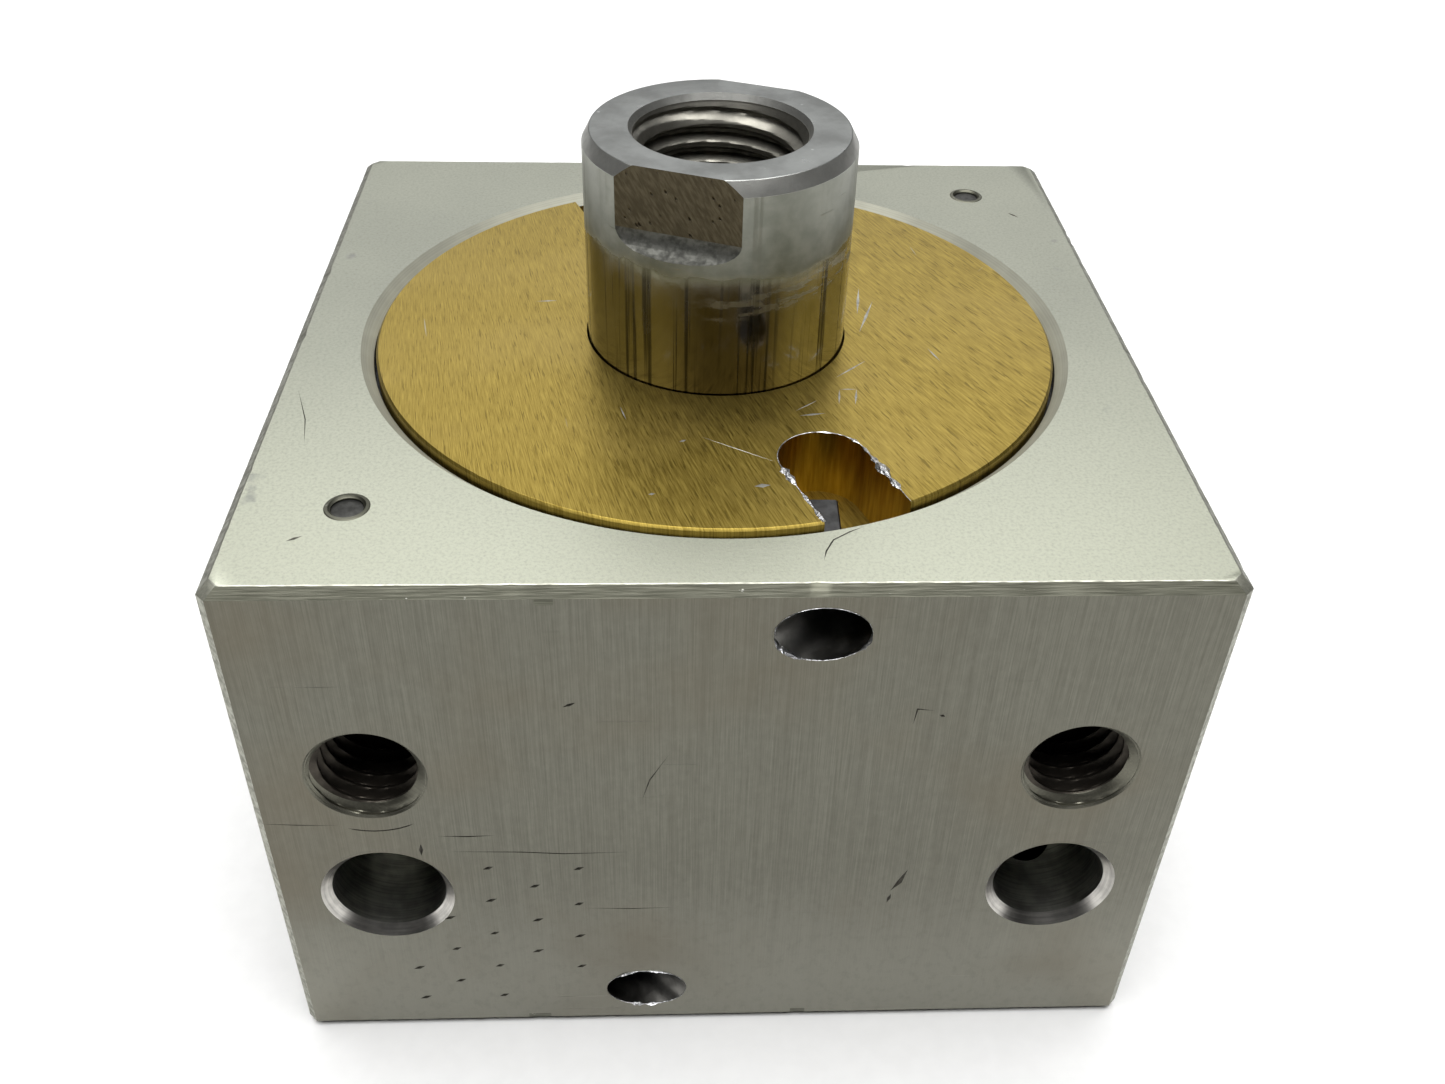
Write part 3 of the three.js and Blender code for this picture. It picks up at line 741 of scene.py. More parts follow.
MATERIALS = {
    "top": top_grain(),
    "side": side_brushed(),
    "edge": edge_metal(),
    "mouth": turned("bore_mouth", (0.40, 0.40, 0.33), 0.55, metallic=0.5),
    "countersink": turned("port_countersink", (0.2, 0.195, 0.155), 0.4),
    "bore": turned("bore_wall", (0.5, 0.5, 0.48), 0.25, 0.003),
    "lead_in": bored_wall("port_lead_in", (0.62, 0.6, 0.56), 0.28),
    "port": bored_wall("port_wall", (0.46, 0.46, 0.42), 0.36),
    # Far darker than the body's aluminium: painted shade inside the deep threaded holes
    "port_thread": grimy("port_thread", (0.085, 0.075, 0.062), 0.5, size=0.4),
    "feed": polished_cut("feed_hole_wall", (0.2, 0.195, 0.18), 0.35),
    "gold": gold_brushed(),
    "gold_wall": gold_wall(),
    "burr": bare_burr(),
    "rod": rod_surface(),
    "rod_end": rod_end_steel(),
    "rod_flat": rod_flat_steel(),
    "rod_chamfer": grimy("rod_chamfer", (0.5, 0.5, 0.47), 0.45, size=0.35),
    "rod_runout": grimy("rod_runout", (0.15, 0.15, 0.135), 0.58, size=1.6),
    "rod_thread": grimy("rod_thread", (0.27, 0.26, 0.225), 0.4, size=0.3),
    "scuff": grimy("scuffed_metal", (0.5, 0.49, 0.44), 0.45, size=1.2),
    "nick": grimy("dark_nick", (0.07, 0.066, 0.055), 0.5, size=1.2),
    "worn_edge": grimy("worn_edge", (0.45, 0.45, 0.385), 0.4, size=0.9),
    # Lighter than the sides: painted light, for corners that catch the light from left and right
    "corner": grimy("body_corner_painted_light", (0.36, 0.36, 0.3), 0.5, size=1.6),
    "wire": grimy("wire_steel", (0.10, 0.10, 0.10), 0.45),
    "screw": grimy("screw_steel", (0.07, 0.07, 0.072), 0.45),
    "plug": grimy("plug_steel", (0.075, 0.075, 0.07), 0.5, size=1.6),
    "rubber": grimy("black_rubber", (0.018, 0.018, 0.017), 0.6, 0.0),
    "wiper": grimy("wiper_rubber", (0.03, 0.06, 0.04), 0.55, 0.0),
    "guide": grimy("guide_plastic", (0.24, 0.15, 0.06), 0.5, 0.0),
    "piston": turned("piston_aluminium", (0.5, 0.5, 0.49), 0.28),
    "floor": floor_paper(),
}


def keep(piece, slot, *nodes, body="cylinder"):
    """Hands a finished piece over: the CAD nodes it stands for, and the body that it rides on. slot is not
    used.
    """
    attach(piece, body)
    if nodes:
        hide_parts(*nodes)
    return piece


# ---- camera and light


def make_camera():
    turn, rise, roll = (math.radians(CAMERA[k]) for k in ("turn", "rise", "roll"))
    back = Vector((math.sin(turn) * math.cos(rise), -math.cos(turn) * math.cos(rise), math.sin(rise)))
    level = Vector((math.cos(turn), math.sin(turn), 0))
    right = Matrix.Rotation(roll, 3, back) @ level
    up = back.cross(right)
    camera = bpy.data.objects.new("camera", bpy.data.cameras.new("camera"))
    camera.data.lens = LENS
    camera.data.sensor_width = SENSOR
    camera.data.clip_start = 0.01
    camera.matrix_world = Matrix((right, up, back)).transposed().to_4x4()
    camera.location = (Vector(CAMERA["target"]) + back * CAMERA["distance"]) * MM
    bpy.context.scene.collection.objects.link(camera)
    bpy.context.scene.camera = camera


def make_floor():
    points = [(x * FLOOR_HALF, y * FLOOR_HALF, 0) for x, y in ((-1, -1), (1, -1), (1, 1), (-1, 1))]
    mesh_object("floor", points, [[0, 1, 2, 3]], ["floor"])


def area_light(name, place, size, power):
    """A rectangular lamp that looks at the origin."""
    lamp = bpy.data.lights.new(name, "AREA")
    lamp.shape = "RECTANGLE"
    lamp.size, lamp.size_y = size
    lamp.energy = power
    obj = bpy.data.objects.new(name, lamp)
    obj.location = place
    obj.rotation_euler = Vector(place).to_track_quat("Z", "Y").to_euler()
    bpy.context.scene.collection.objects.link(obj)


def make_light():
    """A big soft light overhead and one behind, in a room that lights the object most from above and
    behind. The room's wall is seen as plain and pale all round."""
    for name, light in LIGHTS.items():
        area_light(name, **light)
    world = bpy.data.worlds.new("room")
    bpy.context.scene.world = world
    world.use_nodes = True
    nodes, links = world.node_tree.nodes, world.node_tree.links
    place = nodes.new("ShaderNodeTexCoord")
    height = nodes.new("ShaderNodeVectorMath")
    height.operation = "DOT_PRODUCT"
    height.inputs[1].default_value = BRIGHT_SIDE
    links.new(place.outputs["Generated"], height.inputs[0])
    span = nodes.new("ShaderNodeMapRange")
    span.interpolation_type = "SMOOTHSTEP"
    for socket, number in zip(list(span.inputs)[1:5], ROOM_LIGHT.values()):
        socket.default_value = number
    links.new(height.outputs["Value"], span.inputs["Value"])
    ray = nodes.new("ShaderNodeLightPath")
    nodes["Background"].inputs["Color"].default_value = (ROOM_GREY, ROOM_GREY, ROOM_GREY, 1)
    shown = nodes.new("ShaderNodeMix")
    shown.inputs["B"].default_value = WALL_BRIGHTNESS
    links.new(ray.outputs["Is Camera Ray"], shown.inputs["Factor"])
    links.new(span.outputs[0], shown.inputs["A"])
    links.new(shown.outputs["Result"], nodes["Background"].inputs["Strength"])
    bpy.context.scene.view_settings.view_transform = "Standard"


# ---- body


def worn_block():
    """The square block. Its edges are chamfers whose borders wander and carry nicks."""
    chooser = random.Random(7)
    corner = HALF - CORNER_CHAMFER
    step = 2 * corner / SIDE_STEPS
    plan = []
    for k in range(4):
        turn = Matrix.Rotation(math.radians(90 * k), 2)
        plan += [turn @ Vector((-corner + step * i, -HALF)) for i in range(SIDE_STEPS + 1)]
    count = len(plan)
    nicks = []
    for _ in range(NICKS):
        nicks.append((chooser.randrange(count), chooser.uniform(*NICK_DEPTHS), chooser.uniform(*NICK_WIDTHS)))

    def wear(index, row):
        here = plan[index]
        amount = 0
        for along, apart, size in WANDER:
            amount += noise.noise(Vector((here.x * along, here.y * along, row * apart))) * size
        for place, depth, width in nicks[row::4]:
            away = min((index - place) % count, (place - index) % count) * step
            amount += depth * max(0, 1 - away / width)
        return max(0, amount)

    # Height, how far in, which border, and whether it is worn
    rows = [
        (0, EDGE_CHAMFER, 0, True),
        (EDGE_CHAMFER, 0, 1, True),
        (EDGE_CHAMFER + BORDER, 0, 1, False),
        (HEIGHT - EDGE_CHAMFER - BORDER, 0, 2, False),
        (HEIGHT - EDGE_CHAMFER, 0, 2, True),
        (HEIGHT - EDGE_FACET["drop"], EDGE_CHAMFER, 3, True),
        (HEIGHT, EDGE_CHAMFER + EDGE_FACET["inset"], 3, True),
    ]
    points = []
    for height, step_in, row, worn in rows:
        flat = step_in > 0
        for index in range(count):
            amount = wear(index, row) if worn else 0
            here = plan[index] * (1 - (step_in + (amount if flat else amount * 0.5)) / HALF)
            points.append((here.x, here.y, height))

    def place_in_block(polygon):
        x, y, rise = (abs(part) for part in polygon.normal)
        if rise > 0.97:
            return "top"
        if rise > 0.85:
            return "worn_edge"
        # The upright corners, and the chamfers that face left or right, take the lighter corner finish:
        # painted light
        if max(x, y) < (1 - rise * rise) ** 0.5 * 0.97:
            return "corner"
        if rise > 0.05:
            return "corner" if x > y else "edge"
        return "side"

    finishes = ("top", "side", "edge", "worn_edge", "corner")
    return mesh_object("cylinder_body_shell", points, walls(len(rows), count), finishes, place_in_block)


def groove_span(end):
    """The lock wire groove's nearer and farther side, measured inwards from the body's face."""
    return WIRE_DEPTHS[end] - WIRE_GROOVE / 2, WIRE_DEPTHS[end] + WIRE_GROOVE / 2


def bore_tools():
    """The bore with its seats and wire grooves, and the chamfered mouths at both ends."""
    groove = WIRE_RADIUS + WIRE_GROOVE / 2
    mouth = MOUTH_RADIUS - SEAT_RADIUS
    low, high = CAP_DEPTH + SEAT_GAP, HEIGHT - GLAND_DEPTH - SEAT_GAP
    near, far = groove_span("gland")

    def grooved(start, end):
        return [(SEAT_RADIUS, start), (groove, start), (groove, end), (SEAT_RADIUS, end)]

    bore = [(0, mouth - SEAM), (SEAT_RADIUS, mouth - SEAM), *grooved(*groove_span("cap"))]
    bore += [(SEAT_RADIUS, low), (BORE_RADIUS, low), (BORE_RADIUS, high), (SEAT_RADIUS, high)]
    bore += grooved(HEIGHT - far, HEIGHT - near)
    bore += [(SEAT_RADIUS, HEIGHT - mouth + SEAM), (0, HEIGHT - mouth + SEAM)]
    low_mouth = [(0, -OUT), (MOUTH_RADIUS + OUT, -OUT), (SEAT_RADIUS, mouth), (0, mouth)]
    top_mouth = [(radius, HEIGHT - height) for radius, height in low_mouth[::-1]]
    return [
        revolve("tool", bore, "bore"),
        revolve("tool", top_mouth, "mouth"),
        revolve("tool", low_mouth, "mouth"),
    ]


def feed_line(mirror, height):
    """The start, outside the front face, and the direction of a lock wire's slanted hole."""
    along = Vector((mirror, 1, 0)).normalized()
    tangent = Vector((mirror, -1, 0)).normalized() * FEED_OFFSET
    return Vector((tangent.x, tangent.y, height)) - along * HALF, along


def feed_tool(mirror, height):
    start, along = feed_line(mirror, height)
    outline = [(0, 0), (FEED_RADIUS, 0), (FEED_RADIUS, HALF - 1), (0, HALF + 1)]
    return drill(start, along, outline, "feed")


def port_tool(place, inward, port, radius, floor, mouth_finish):
    """A port's bore, which ends in the points of its floor, and the flare of its mouth, as two tools."""
    bored = [(0, -OUT), (radius, -OUT), (radius, port["depth"]), *floor]
    lead = port["mouth"] - radius
    flare = [(0, -OUT), (port["mouth"] + OUT, -OUT), (radius, lead), (0, lead)]
    return [drill(place, inward, bored, "port"), drill(place, inward, flare, mouth_finish)]


def port_tools():
    """Threaded and plug-in ports in front, and threaded ports at the back."""
    tools = []
    for x in (-PORT_X, PORT_X):
        radius, depth = THREAD_PORT["major"] + THREAD_WALL, THREAD_PORT["depth"]
        floor = [(radius - 1, depth + 1), (0, depth + 2)]
        for side in (-1, 1):
            place = (x, side * HALF, THREAD_PORT["height"])
            tools += port_tool(place, (0, -side, 0), THREAD_PORT, radius, floor, "countersink")
        place = (x, -HALF, PLUG_IN_PORT["height"])
        floor = [(0, PLUG_IN_PORT["depth"] + 2.5)]
        tools += port_tool(place, (0, 1, 0), PLUG_IN_PORT, PLUG_IN_PORT["radius"], floor, "lead_in")
    return tools


def passage_tools():
    tools = []
    for x, y, radius, from_top, reach in PASSAGES.values():
        outside = HEIGHT + OUT if from_top else -OUT
        length = abs(outside - reach)
        outline = [(0, 0), (radius, 0), (radius, length), (0, length)]
        tools.append(drill((x, y, outside), (0, 0, -1 if from_top else 1), outline, "feed", SMALL_ROUND))
    return tools


def scratch_tool(strokes, facing, at):
    """One tool for many scratches: V-shaped furrows in a face, pointed at both ends. A stroke is (path,
    width), and its path's points are (x, height) in an upright face, or (x, y) in a level one."""
    points, faces = [], []
    out = Vector(facing)
    for path, width in strokes:
        path = [Vector((p[0], 0, p[1])) if out.y else Vector((p[0], p[1], 0)) for p in path]
        if len(path) == 2:
            path.insert(1, (path[0] + path[1]) / 2)
        path = [p + out * at for p in path]
        faces += [[len(points) + corner for corner in face] for face in walls(len(path), 5)]
        for k, place in enumerate(path):
            wide = width if 0 < k < len(path) - 1 else 0
            ahead = path[min(k + 1, len(path) - 1)] - path[max(k - 1, 0)]
            across = ahead.normalized().cross(out) * wide / 2
            above, deepest = place + out * SCRATCH_ABOVE, place - out * wide * SCRATCH_DEPTH
            points += [above + across, above - across, place - across, deepest, place + across]
    return mesh_object("tool", points, faces, ["nick"])


def front_marks():
    """Columns of small slanted dents at the lower left of the front face, and a few fine scratches."""
    chooser = random.Random(5)
    strokes = []
    for column, top, count in DENT_COLUMNS:
        for row in range(count):
            x = column + chooser.uniform(-DENT_STRAY, DENT_STRAY)
            z = top - DENT_STEP * row + chooser.uniform(-DENT_STRAY, DENT_STRAY)
            half = chooser.uniform(*DENT_HALF_LENGTHS)
            strokes.append(([(x - half, z - half * 0.4), (x + half, z + half * 0.4)], DENT_WIDTH))
    strokes += [
        ([(-26.9, 25.9), (-26.8, 27.5)], 0.38), ([(-13.6, 44.2), (-12.5, 44.7)], 0.3),
        ([(16.9, 23.0), (16.3, 21.2), (15.6, 20.0)], 0.5), ([(15.7, 19.5), (15.4, 18.2)], 0.35),
        ([(15.3, 41.8), (15.5, 43.6), (17.0, 43.4)], 0.2), ([(17.4, 42.9), (17.9, 42.7)], 0.3),
        (arc((-PORT_X, THREAD_PORT["height"]), 6.9, 250, 300, 8), 0.14),
        ([(-40.3, 30.4), (-37, 30.2), (-33.5, 30.1)], 0.1),
        ([(-25.2, 28.5), (-22.6, 28.4), (-20.2, 28.5)], 0.16),
        ([(-24.6, 26.4), (-18, 26.2), (-14.4, 25.9), (-8.5, 26.0)], 0.12),
        ([(-12.8, 18.1), (-8.5, 17.9), (-4.4, 18.0)], 0.1),
        ([(-4.9, 38.6), (-6.6, 35.4), (-7.3, 32.8)], 0.12),
    ]
    return scratch_tool(strokes, (0, -1, 0), HALF)


def top_marks():
    """Scratches in the top face: a long bent one beside the slot, two short heavy ones, and a hair line."""
    strokes = [
        ([(10.8, -32.9), (9.7, -33.5), (8.2, -34.6), (7.5, -36.0), (7.2, -37.2)], 0.13),
        ([(-35.0, -34.5), (-33.8, -33.8)], 0.3), ([(34.5, 26.5), (35.6, 25.2)], 0.3),
        ([(-38.5, -12), (-36.9, -17), (-36.2, -21)], 0.1),
    ]
    return scratch_tool(strokes, (0, 0, 1), HEIGHT)


def make_gland_scuffs():
    """Pale scuffs on the gland, as thin slivers of metal that lie half sunk in its face."""
    points, faces = [], []
    for start, end, width in SCUFFS:
        start, end = Vector((*start, 0)), Vector((*end, 0))
        across = (end - start).normalized().cross(Vector((0, 0, 1))) * width / 2
        middle = (start + end) / 2
        first = len(points)
        thick = Vector((0, 0, SCUFF_THICKNESS))
        points += [start, middle + across, end, middle - across, middle + thick, middle - thick]
        for k in range(4):
            after = (k + 1) % 4
            faces += [[first + k, first + after, first + 4], [first + after, first + k, first + 5]]
    scuffs = mesh_object("gland_scuffs", points, faces, ["scuff"])
    keep(raised(scuffs, HEIGHT - CLOSURE_RECESS), "gold_anodised")


def make_body():
    feeds = [feed_tool(mirror, height) for mirror, height in FEEDS]
    marks = [front_marks(), top_marks()]
    body = carve(worn_block(), [*marks, *bore_tools(), *feeds, *port_tools(), *passage_tools()])
    body.name = "cylinder_body_shell"
    keep(body, "body_aluminium", "cylinder_body")


def make_port_threads():
    names = {-PORT_X: "rod_end_port_thread", PORT_X: "cap_end_port_thread"}
    for x, name in names.items():
        sleeve = thread_sleeve(name, THREAD_PORT, ["port_thread", "countersink"])
        turned_to(sleeve, (x, -HALF, THREAD_PORT["height"]), (0, -1, 0))
        keep(sleeve, "body_aluminium")


def burr(name, path, seed, lumps, closed=True):
    """A ragged thread of pushed-up metal along an edge, which swells to a lump at a few places."""

    def section(share):
        spot = Vector((math.cos(share * math.tau), math.sin(share * math.tau), seed)) * 6.1
        wide = BURR_WIDTH * (0.6 + abs(noise.noise(spot * 2.3)))
        for where, spread, size in lumps:
            away = abs((share - where + 0.5) % 1 - 0.5) / spread
            wide += size * max(0, 1 - away * away) * (0.75 + 0.6 * noise.noise(spot * 5.7))
        tall = wide * (0.5 + 0.4 * noise.noise(spot * 3.1 + Vector((5, 0, 0))))
        lean = wide * 0.6 * noise.noise(spot * 2.7 + Vector((0, 9, 0)))
        crest = wide * 0.4
        return [(-wide, 0), (lean - crest, tall), (lean + crest, tall * 0.8), (wide, 0), (0, -crest)]

    keep(sweep(name, path, section, "burr", close_path=closed), "body_aluminium")


# ---- gland and cap


def slot_outline(steps=24):
    """One slot, along +X: a round inner end, open at the rim."""
    outside = [Vector((CLOSURE_RADIUS + 2, side * SLOT_HALF_WIDTH)) for side in (-1, 1)]
    return arc((SLOT_END_RADIUS, 0), SLOT_HALF_WIDTH, 90, 270, steps) + outside


def closure(name, end, depth, holes):
    """The gland or cap, as a gland whose outer face is just under height 0: a disc with O-ring and wire
    grooves and two slots."""
    top, bottom, floor = CLOSURE_RING_GROOVE
    near, far = groove_span(end)
    wire_floor = WIRE_RADIUS - WIRE_GROOVE / 2
    edge = 0.12
    rim, lead = CLOSURE_RADIUS, CLOSURE_LEAD
    outline = [(0, -depth), (rim - lead, -depth, edge), (rim, lead - depth, edge)]
    for radius, low, high in ((floor, bottom, top), (wire_floor, far, near)):
        outline += [(rim, -low, edge), (radius, -low), (radius, -high), (rim, -high, edge)]
    outline += [
        (rim, -CLOSURE_RECESS - CLOSURE_CHAMFER, 0.04), (rim - CLOSURE_CHAMFER, -CLOSURE_RECESS, 0.04),
        (0, -CLOSURE_RECESS),
    ]
    slots = [prism("tool", slot_outline(), -far, OUT, ["gold_wall", "gold"], angle) for angle in SLOT_ANGLES]
    relief = sweep("tool", wire_path(end), square(WIRE_SIDE + 0.1, 0.3), "gold_wall")
    return carve(revolve(name, outline, "gold"), [*slots, relief, *holes])


def rod_hole_tools():
    inside = -GLAND_DEPTH - OUT
    hole = [(0, inside), (ROD_HOLE_RADIUS, inside), (ROD_HOLE_RADIUS, OUT), (0, OUT)]
    tools = [revolve("tool", hole, "gold_wall")]
    for top, bottom, radius in ROD_GROOVES:
        tools.append(ring("tool", 5, radius, -bottom, -top, "gold_wall", edge=0.05))
    return tools


def wire_path(end):
    """The lock wire's middle line: a leaning leg in the slot, a bend, a turn of the groove, and a tail."""
    lean = math.radians(WIRE_HOOK["lean"])
    ahead = Vector((math.cos(lean), math.sin(lean)))
    start = Vector(WIRE_HOOK["start"])
    first_centre = start + Vector((ahead.y, -ahead.x)) * WIRE_BEND
    along = first_centre.dot(ahead)
    leg = math.sqrt(along**2 - first_centre.length_squared + (WIRE_RADIUS - WIRE_BEND) ** 2) - along
    centre = first_centre + ahead * leg
    ring_angle = math.degrees(math.atan2(centre.y, centre.x))
    plan = [start + ahead * leg * k / 4 for k in range(4)]
    plan += arc(centre, WIRE_BEND, WIRE_HOOK["lean"] + 90, ring_angle, 12)
    turn = Matrix.Rotation(math.radians(SLOT_ANGLES[0]), 2)
    plan = [turn @ p for p in plan]
    plan += arc((0, 0), WIRE_RADIUS, SLOT_ANGLES[0] + ring_angle - 2, WIRE_TAIL["angle"] - 360, 180)
    back = Vector((-1, -1)).normalized()
    plan += [plan[-1] + back * WIRE_TAIL["length"] * k / 6 for k in range(1, 7)]
    return [Vector((p.x, p.y, -WIRE_DEPTHS[end])) for p in plan]


def square(side, round_off):
    """A square outline with rounded corners, about the origin."""
    section = []
    for k, (x, y) in enumerate(((1, 1), (-1, 1), (-1, -1), (1, -1))):
        centre = (x * (side / 2 - round_off), y * (side / 2 - round_off))
        section += arc(centre, round_off, 90 * k, 90 * k + 90, 3)
    return section


def lock_wire(name, end):
    return sweep(name, wire_path(end), square(WIRE_SIDE, 0.35), "wire")


def o_ring(name, radius, thickness, height):
    section = arc((radius, height), thickness / 2, 0, 330, 11)
    return revolve(name, section, "rubber", closed=True)


def closure_o_ring(name):
    top, bottom, floor = CLOSURE_RING_GROOVE
    inner, outer = floor + RING_GAP, CLOSURE_RADIUS - 0.05
    return o_ring(name, (inner + outer) / 2, outer - inner, -(top + bottom) / 2)


def rod_rings():
    """Wiper, U-cup seal and split guide ring, in the gland's three inner grooves."""
    inner = ROD_RADIUS + 0.06
    (top, bottom, outer), seal_groove, guide_groove = ROD_GROOVES
    outer, tall = outer - RING_GAP, bottom - top
    wiper = [
        (inner + 0.5, 0.1), (outer, 0.1, 0.2), (outer, tall - 0.1, 0.2), (inner + 1.6, tall - 0.1),
        (inner + 1.4, tall - 1.2, 0.2), (inner, tall - 0.2), (inner + 0.3, 1.2, 0.3),
    ]
    yield revolve("rod_wiper_lip", wiper, "wiper", closed=True, base=-bottom), "wiper_rubber", "rod_wiper"
    top, bottom, outer = seal_groove
    outer, tall = outer - RING_GAP, bottom - top
    cup = [
        (inner + 0.3, tall - 0.15, 0.1), (outer - 0.3, tall - 0.15, 0.2), (outer, 0.6),
        (outer - 0.2, 0.15), ((inner + outer) / 2, 1.8, 0.4), (inner + 0.2, 0.15), (inner, 0.6),
    ]
    yield revolve("rod_seal_cup", cup, "rubber", closed=True, base=-bottom), "black_rubber", "rod_seal"
    top, bottom, outer = guide_groove
    band = split_ring("rod_guide_band", inner, outer - RING_GAP, RING_GAP - bottom, -top - RING_GAP, 40)
    yield band, "guide_plastic", "rod_guide_ring"


def split_ring(name, inner, outer, low, high, split_angle):
    """A guide ring with a slanting cut, so that it can be sprung into its groove."""
    across, tall = outer - inner + 2, high - low + 2
    middle = Vector(((inner + outer) / 2, 0, (low + high) / 2))
    points = [
        middle + Vector((across * step, lean * 1.2 + side * 0.3, lean * tall))
        for lean in (-0.5, 0.5)
        for step, side in ((-0.5, -1), (0.5, -1), (0.5, 1), (-0.5, 1))
    ]
    cut = spun(mesh_object("tool", points, walls(2, 4), ["guide"]), split_angle)
    return carve(ring(name, inner, outer, low, high, "guide", edge=0.12), [cut])


def slot_burr_path(steps=14):
    """The edge of the front slot in the gland's top face."""
    outline = slot_outline(36)[:-2]
    ends = [Vector((CLOSURE_RADIUS - 0.4, side * SLOT_HALF_WIDTH)) for side in (1, -1)]
    path = [ends[0].lerp(outline[0], k / steps) for k in range(steps)]
    path += outline
    path += [outline[-1].lerp(ends[1], k / steps) for k in range(1, steps + 1)]
    turn = Matrix.Rotation(math.radians(SLOT_ANGLES[0]), 2)
    return [Vector((*(turn @ p), HEIGHT - CLOSURE_RECESS)) for p in path]


def feed_burr_path(mirror, height, steps=90):
    """Where a slanted hole meets the front face: an ellipse, wider than it is high."""
    start, along = feed_line(mirror, height)
    centre = start + along * ((-HALF - start.y) / along.y)
    wide = FEED_RADIUS / abs(along.y)
    angles = [math.tau * k / steps for k in range(steps)]
    return [centre + Vector((wide * math.cos(a), 0, FEED_RADIUS * math.sin(a))) for a in angles]


def at_the_top(obj):
    return raised(obj, HEIGHT)


def upside_down(obj):
    """A cap-end piece is a gland-end piece turned half a turn about Y."""
    return spun(obj, 180, "Y")


def make_ends():
    gland = at_the_top(closure("rod_gland_disc", "gland", GLAND_DEPTH, rod_hole_tools()))
    keep(gland, "gold_anodised", "rod_gland")
    cap = upside_down(closure("rear_cap_disc", "cap", CAP_DEPTH, []))
    keep(cap, "gold_anodised", "rear_cap")
    for end, put in (("gland", at_the_top), ("cap", upside_down)):
        keep(put(lock_wire(f"{end}_lock_wire_bent", end)), "dark_steel", f"{end}_lock_wire")
        keep(put(closure_o_ring(f"{end}_o_ring_round")), "black_rubber", f"{end}_o_ring")
    for piece, slot, node in rod_rings():
        keep(at_the_top(piece), slot, node)
    burr("gland_slot_burr", slot_burr_path(), 3, SLOT_LUMPS, closed=False)


# ---- plugs


def make_passage_plugs():
    """The plugs pressed into the drilled passages, and the lips of metal peened over them."""
    for name, (x, y, radius, from_top, _) in PASSAGES.items():
        shank = [(0, -4), (radius - 0.15, -4, 0.2), (radius - 0.08, -0.25, 0.15)]
        shank += [(radius / 2, -0.12), (0, -0.1)]
        plug = revolve(f"passage_plug_{name}_face", shank, "plug", SMALL_ROUND)
        profile = [(-0.1, -0.6), (0.45, -0.05), (0.3, 0.06), (0.05, 0.1), (-0.15, -0.1)]
        peened = [(radius + beyond, height) for beyond, height in profile]
        lip = revolve(f"passage_plug_{name}_lip", peened, "edge", SMALL_ROUND, closed=True)
        for obj in (plug, lip):
            turned_to(obj, (x, y, HEIGHT if from_top else 0), (0, 0, 1 if from_top else -1))
        keep(plug, "plug_steel", f"passage_plug_{name}")
        keep(lip, "body_aluminium")


def make_port_plugs():
    """The socket screws that close the ports at the back."""
    names = {PORT_X: "port_plug_rod_end", -PORT_X: "port_plug_cap_end"}
    radius, length, socket = (PORT_PLUG[key] for key in ("radius", "length", "socket"))
    shank = [
        (0, -length), (radius - 0.9, -length), (radius, 0.9 - length, 0.1), (radius, -0.7, 0.1),
        (radius - 0.7, 0, 0.1), (0, 0),
    ]
    hexagon = [point[:2] for point in around(socket, 0, 6)]
    for x, name in names.items():
        tools = [
            prism("tool", hexagon, -PORT_PLUG["socket_depth"], OUT, ["screw"]),
            revolve("tool", [(0, -1), (socket, -0.35), (socket + 1.35, OUT), (0, OUT)], "screw", SMALL_ROUND),
        ]
        screw = carve(revolve(f"{name}_screw", shank, "screw", FINE_ROUND), tools)
        place = (x, HALF - PORT_PLUG["recess"], THREAD_PORT["height"])
        keep(turned_to(screw, place, (0, 1, 0)), "dark_steel", name)


# ---- rod and piston


def flat_tool(angle):
    """The cutter that leaves one wrench flat: a flat plane with a round run-out at its lower end."""
    low = ROD_TOP - FLAT_LENGTH
    reach = math.sqrt(FLAT_RUNOUT**2 - (FLAT_RUNOUT - (ROD_RADIUS - FLAT_DISTANCE) - 0.3) ** 2)
    profile = [(FLAT_DISTANCE, ROD_TOP + 2)]
    for k in range(7):
        drop = reach * k / 6
        profile.append((FLAT_DISTANCE + FLAT_RUNOUT - math.sqrt(FLAT_RUNOUT**2 - drop**2), low - drop))
    profile += [(ROD_RADIUS + 3, low - reach), (ROD_RADIUS + 3, ROD_TOP + 2)]
    points = [(across, side * 12, height) for side in (-1, 1) for across, height in profile]

    def flat_or_runout(polygon):
        return "rod_flat" if abs(polygon.normal.z) < 0.05 else "rod_runout"

    tool = mesh_object("tool", points, walls(2, len(profile)), ["rod_flat", "rod_runout"], flat_or_runout)
    return spun(tool, angle)


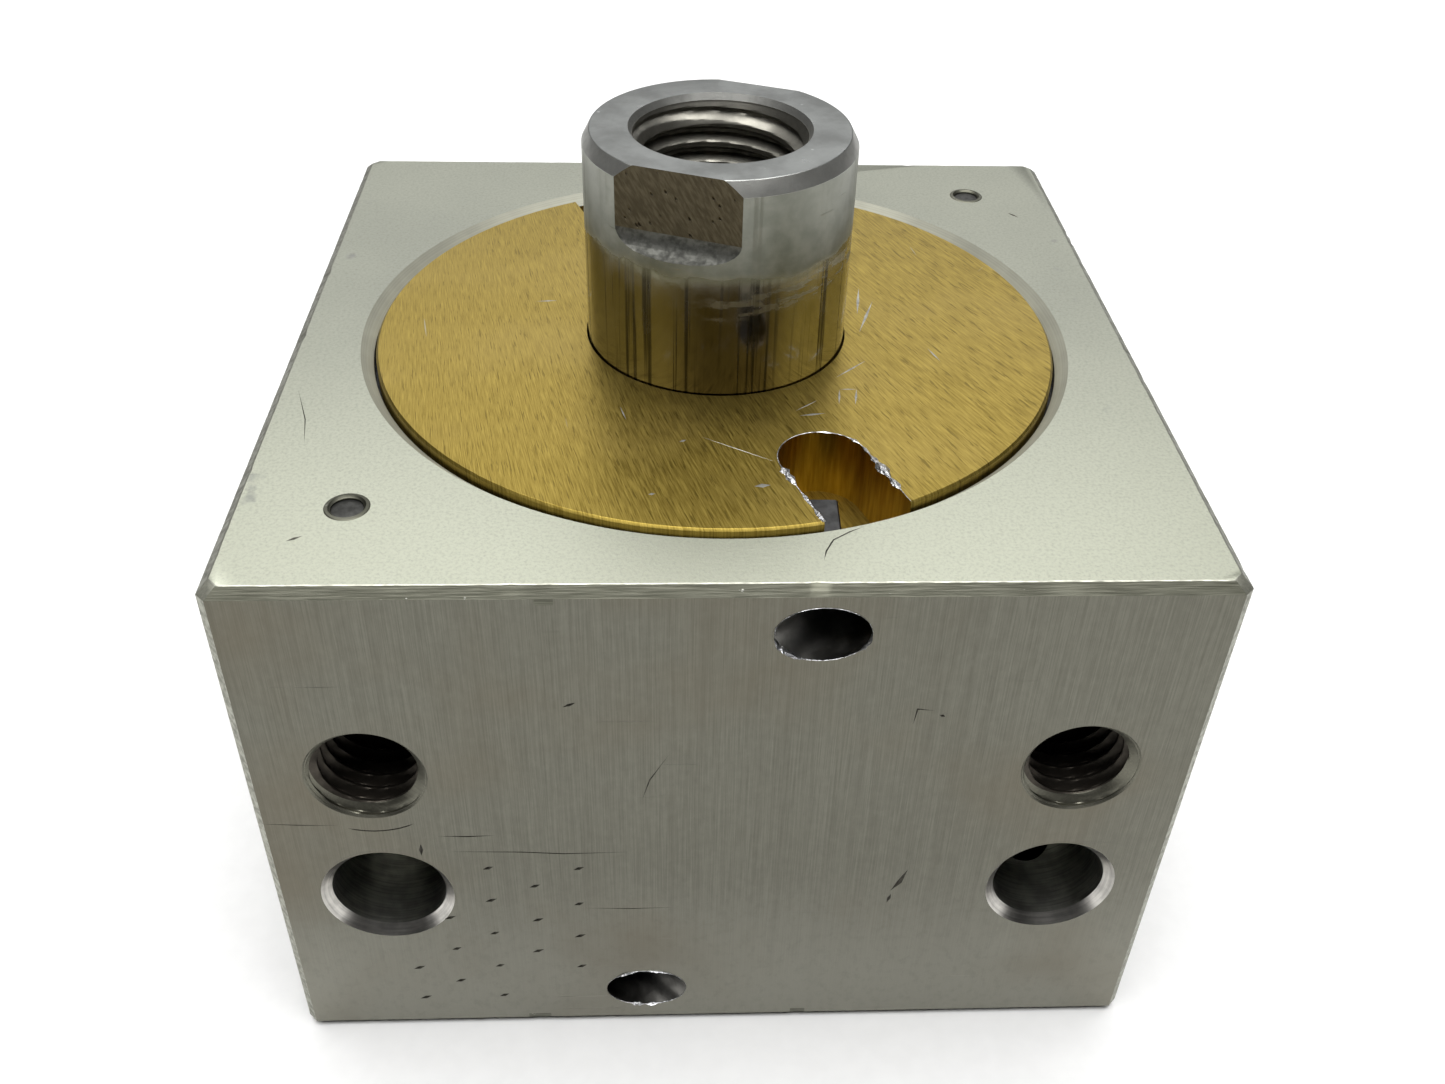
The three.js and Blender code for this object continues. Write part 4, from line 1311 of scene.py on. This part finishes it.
def make_rod():
    """The rod with its spigot, wrench flats and threaded socket."""
    spigot, start, chamfer = SPIGOT.values()
    start += PISTON_LOW
    shoulder = PISTON_LOW + PISTON["height"]
    outline = [
        (0, start), (spigot - chamfer, start), (spigot, start + chamfer), (spigot, shoulder),
        (ROD_RADIUS, shoulder, 0.1), (ROD_RADIUS, ROD_TOP - ROD_CHAMFER["height"], 0.15),
        (ROD_RADIUS - ROD_CHAMFER["inset"], ROD_TOP, 0.15), (0, ROD_TOP),
    ]
    rod = revolve("piston_rod_bar", outline, "rod")
    rod.data.materials.append(MATERIALS["rod_end"])
    rod.data.materials.append(MATERIALS["rod_chamfer"])
    for polygon in rod.data.polygons:
        if polygon.center.z / MM > ROD_TOP - ROD_CHAMFER["height"] - 0.02:
            polygon.material_index = 1 if polygon.normal.z > 0.7 else 2
    wall, mouth, depth = ROD_THREAD["major"] + THREAD_WALL, ROD_THREAD["mouth"], ROD_THREAD["depth"]
    socket = [(0, -OUT), (mouth + 0.3, -OUT), (mouth, 0), (wall, SOCKET_START), (wall, depth), (0, depth + 4)]
    tools = [flat_tool(angle) for angle in FLAT_ANGLES]
    tools.append(drill((0, 0, ROD_TOP), (0, 0, -1), socket, "rod_chamfer"))
    carve(rod, tools)
    keep(rod, "polished_rod", "piston_rod", body="rod_and_piston")
    slope = (mouth - wall) / SOCKET_START
    sleeve = thread_sleeve("rod_end_thread", ROD_THREAD, ["rod_thread"], SOCKET_START, slope, 96, 20)
    keep(raised(sleeve, ROD_TOP), "polished_rod", body="rod_and_piston")


def make_piston():
    """The piston with its two ring grooves, its rings, and the O-ring between it and the rod."""
    edge = 0.15
    height, radius, floor, bore, recess, recess_depth = PISTON.values()
    outline = [(bore, recess_depth), (recess, recess_depth), (recess, 0, edge)]
    outline += [(radius - 0.6, 0, edge), (radius, 0.6, edge)]
    for low, high in (GUIDE_GROOVE, SEAL_GROOVE):
        outline += [(radius, low, edge), (floor, low), (floor, high), (radius, high, edge)]
    outline += [(radius, height - 0.6, edge), (radius - 0.6, height, edge), (bore, height)]
    low, high, o_ring_floor = ROD_RING_GROOVE
    outline += [(bore, high), (o_ring_floor, high), (o_ring_floor, low), (bore, low)]
    piston = revolve("piston_turned", outline, "piston", closed=True, base=PISTON_LOW)
    keep(piston, "body_aluminium", "piston", body="rod_and_piston")
    inner_seal = o_ring("piston_rod_o_ring_round", 9.0, 1.9, PISTON_LOW + (low + high) / 2)
    keep(inner_seal, "black_rubber", "piston_rod_o_ring", body="rod_and_piston")
    low, high = SEAL_GROOVE[0] + 0.15, SEAL_GROOVE[1] - 0.15
    profile = [
        (floor + 0.2, low, 0.2), (radius - 0.8, low, 0.2), (radius + 0.22, low + 0.75, 0.15),
        (radius - 0.1, (low + high) / 2, 0.3), (radius + 0.22, high - 0.75, 0.15),
        (radius - 0.8, high, 0.2), (floor + 0.2, high, 0.2),
    ]
    seal = revolve("piston_seal_profile", profile, "rubber", closed=True, base=PISTON_LOW)
    keep(seal, "black_rubber", "piston_seal", body="piston_rings")
    low, high = (PISTON_LOW + height for height in GUIDE_GROOVE)
    band = split_ring("piston_guide_band", floor + 0.15, radius + 0.2, low + RING_GAP, high - RING_GAP, -100)
    keep(band, "guide_plastic", "piston_guide_ring", body="piston_rings")


def make_nut():
    """A hexagon nut with chamfered corners, drawn as a turned blank cut by six planes."""
    low, high, corner, flat, bore, chamfer = NUT.values()
    blank = [
        (bore, low), (flat - 0.4, low), (corner, low + chamfer), (corner, high - chamfer),
        (flat - 0.4, high), (bore, high),
    ]
    nut = revolve("piston_nut_hexagon", blank, "screw", FINE_ROUND, closed=True, base=PISTON_LOW)
    plate = [(flat, -12), (flat + 6, -12), (flat + 6, 12), (flat, 12)]
    low, high = PISTON_LOW + low - OUT, PISTON_LOW + high + OUT
    carve(nut, [prism("tool", plate, low, high, ["screw"], 60 * k) for k in range(6)])
    keep(nut, "dark_steel", "piston_nut", body="rod_and_piston")


make_camera()
make_floor()
make_light()
make_body()
make_gland_scuffs()
make_port_threads()
make_ends()
burr("upper_feed_hole_burr", feed_burr_path(*FEEDS[0]), 11, UPPER_FEED_LUMPS)
burr("lower_feed_hole_burr", feed_burr_path(*FEEDS[1]), 17, LOWER_FEED_LUMPS)
make_passage_plugs()
make_port_plugs()
make_rod()
make_piston()
make_nut()
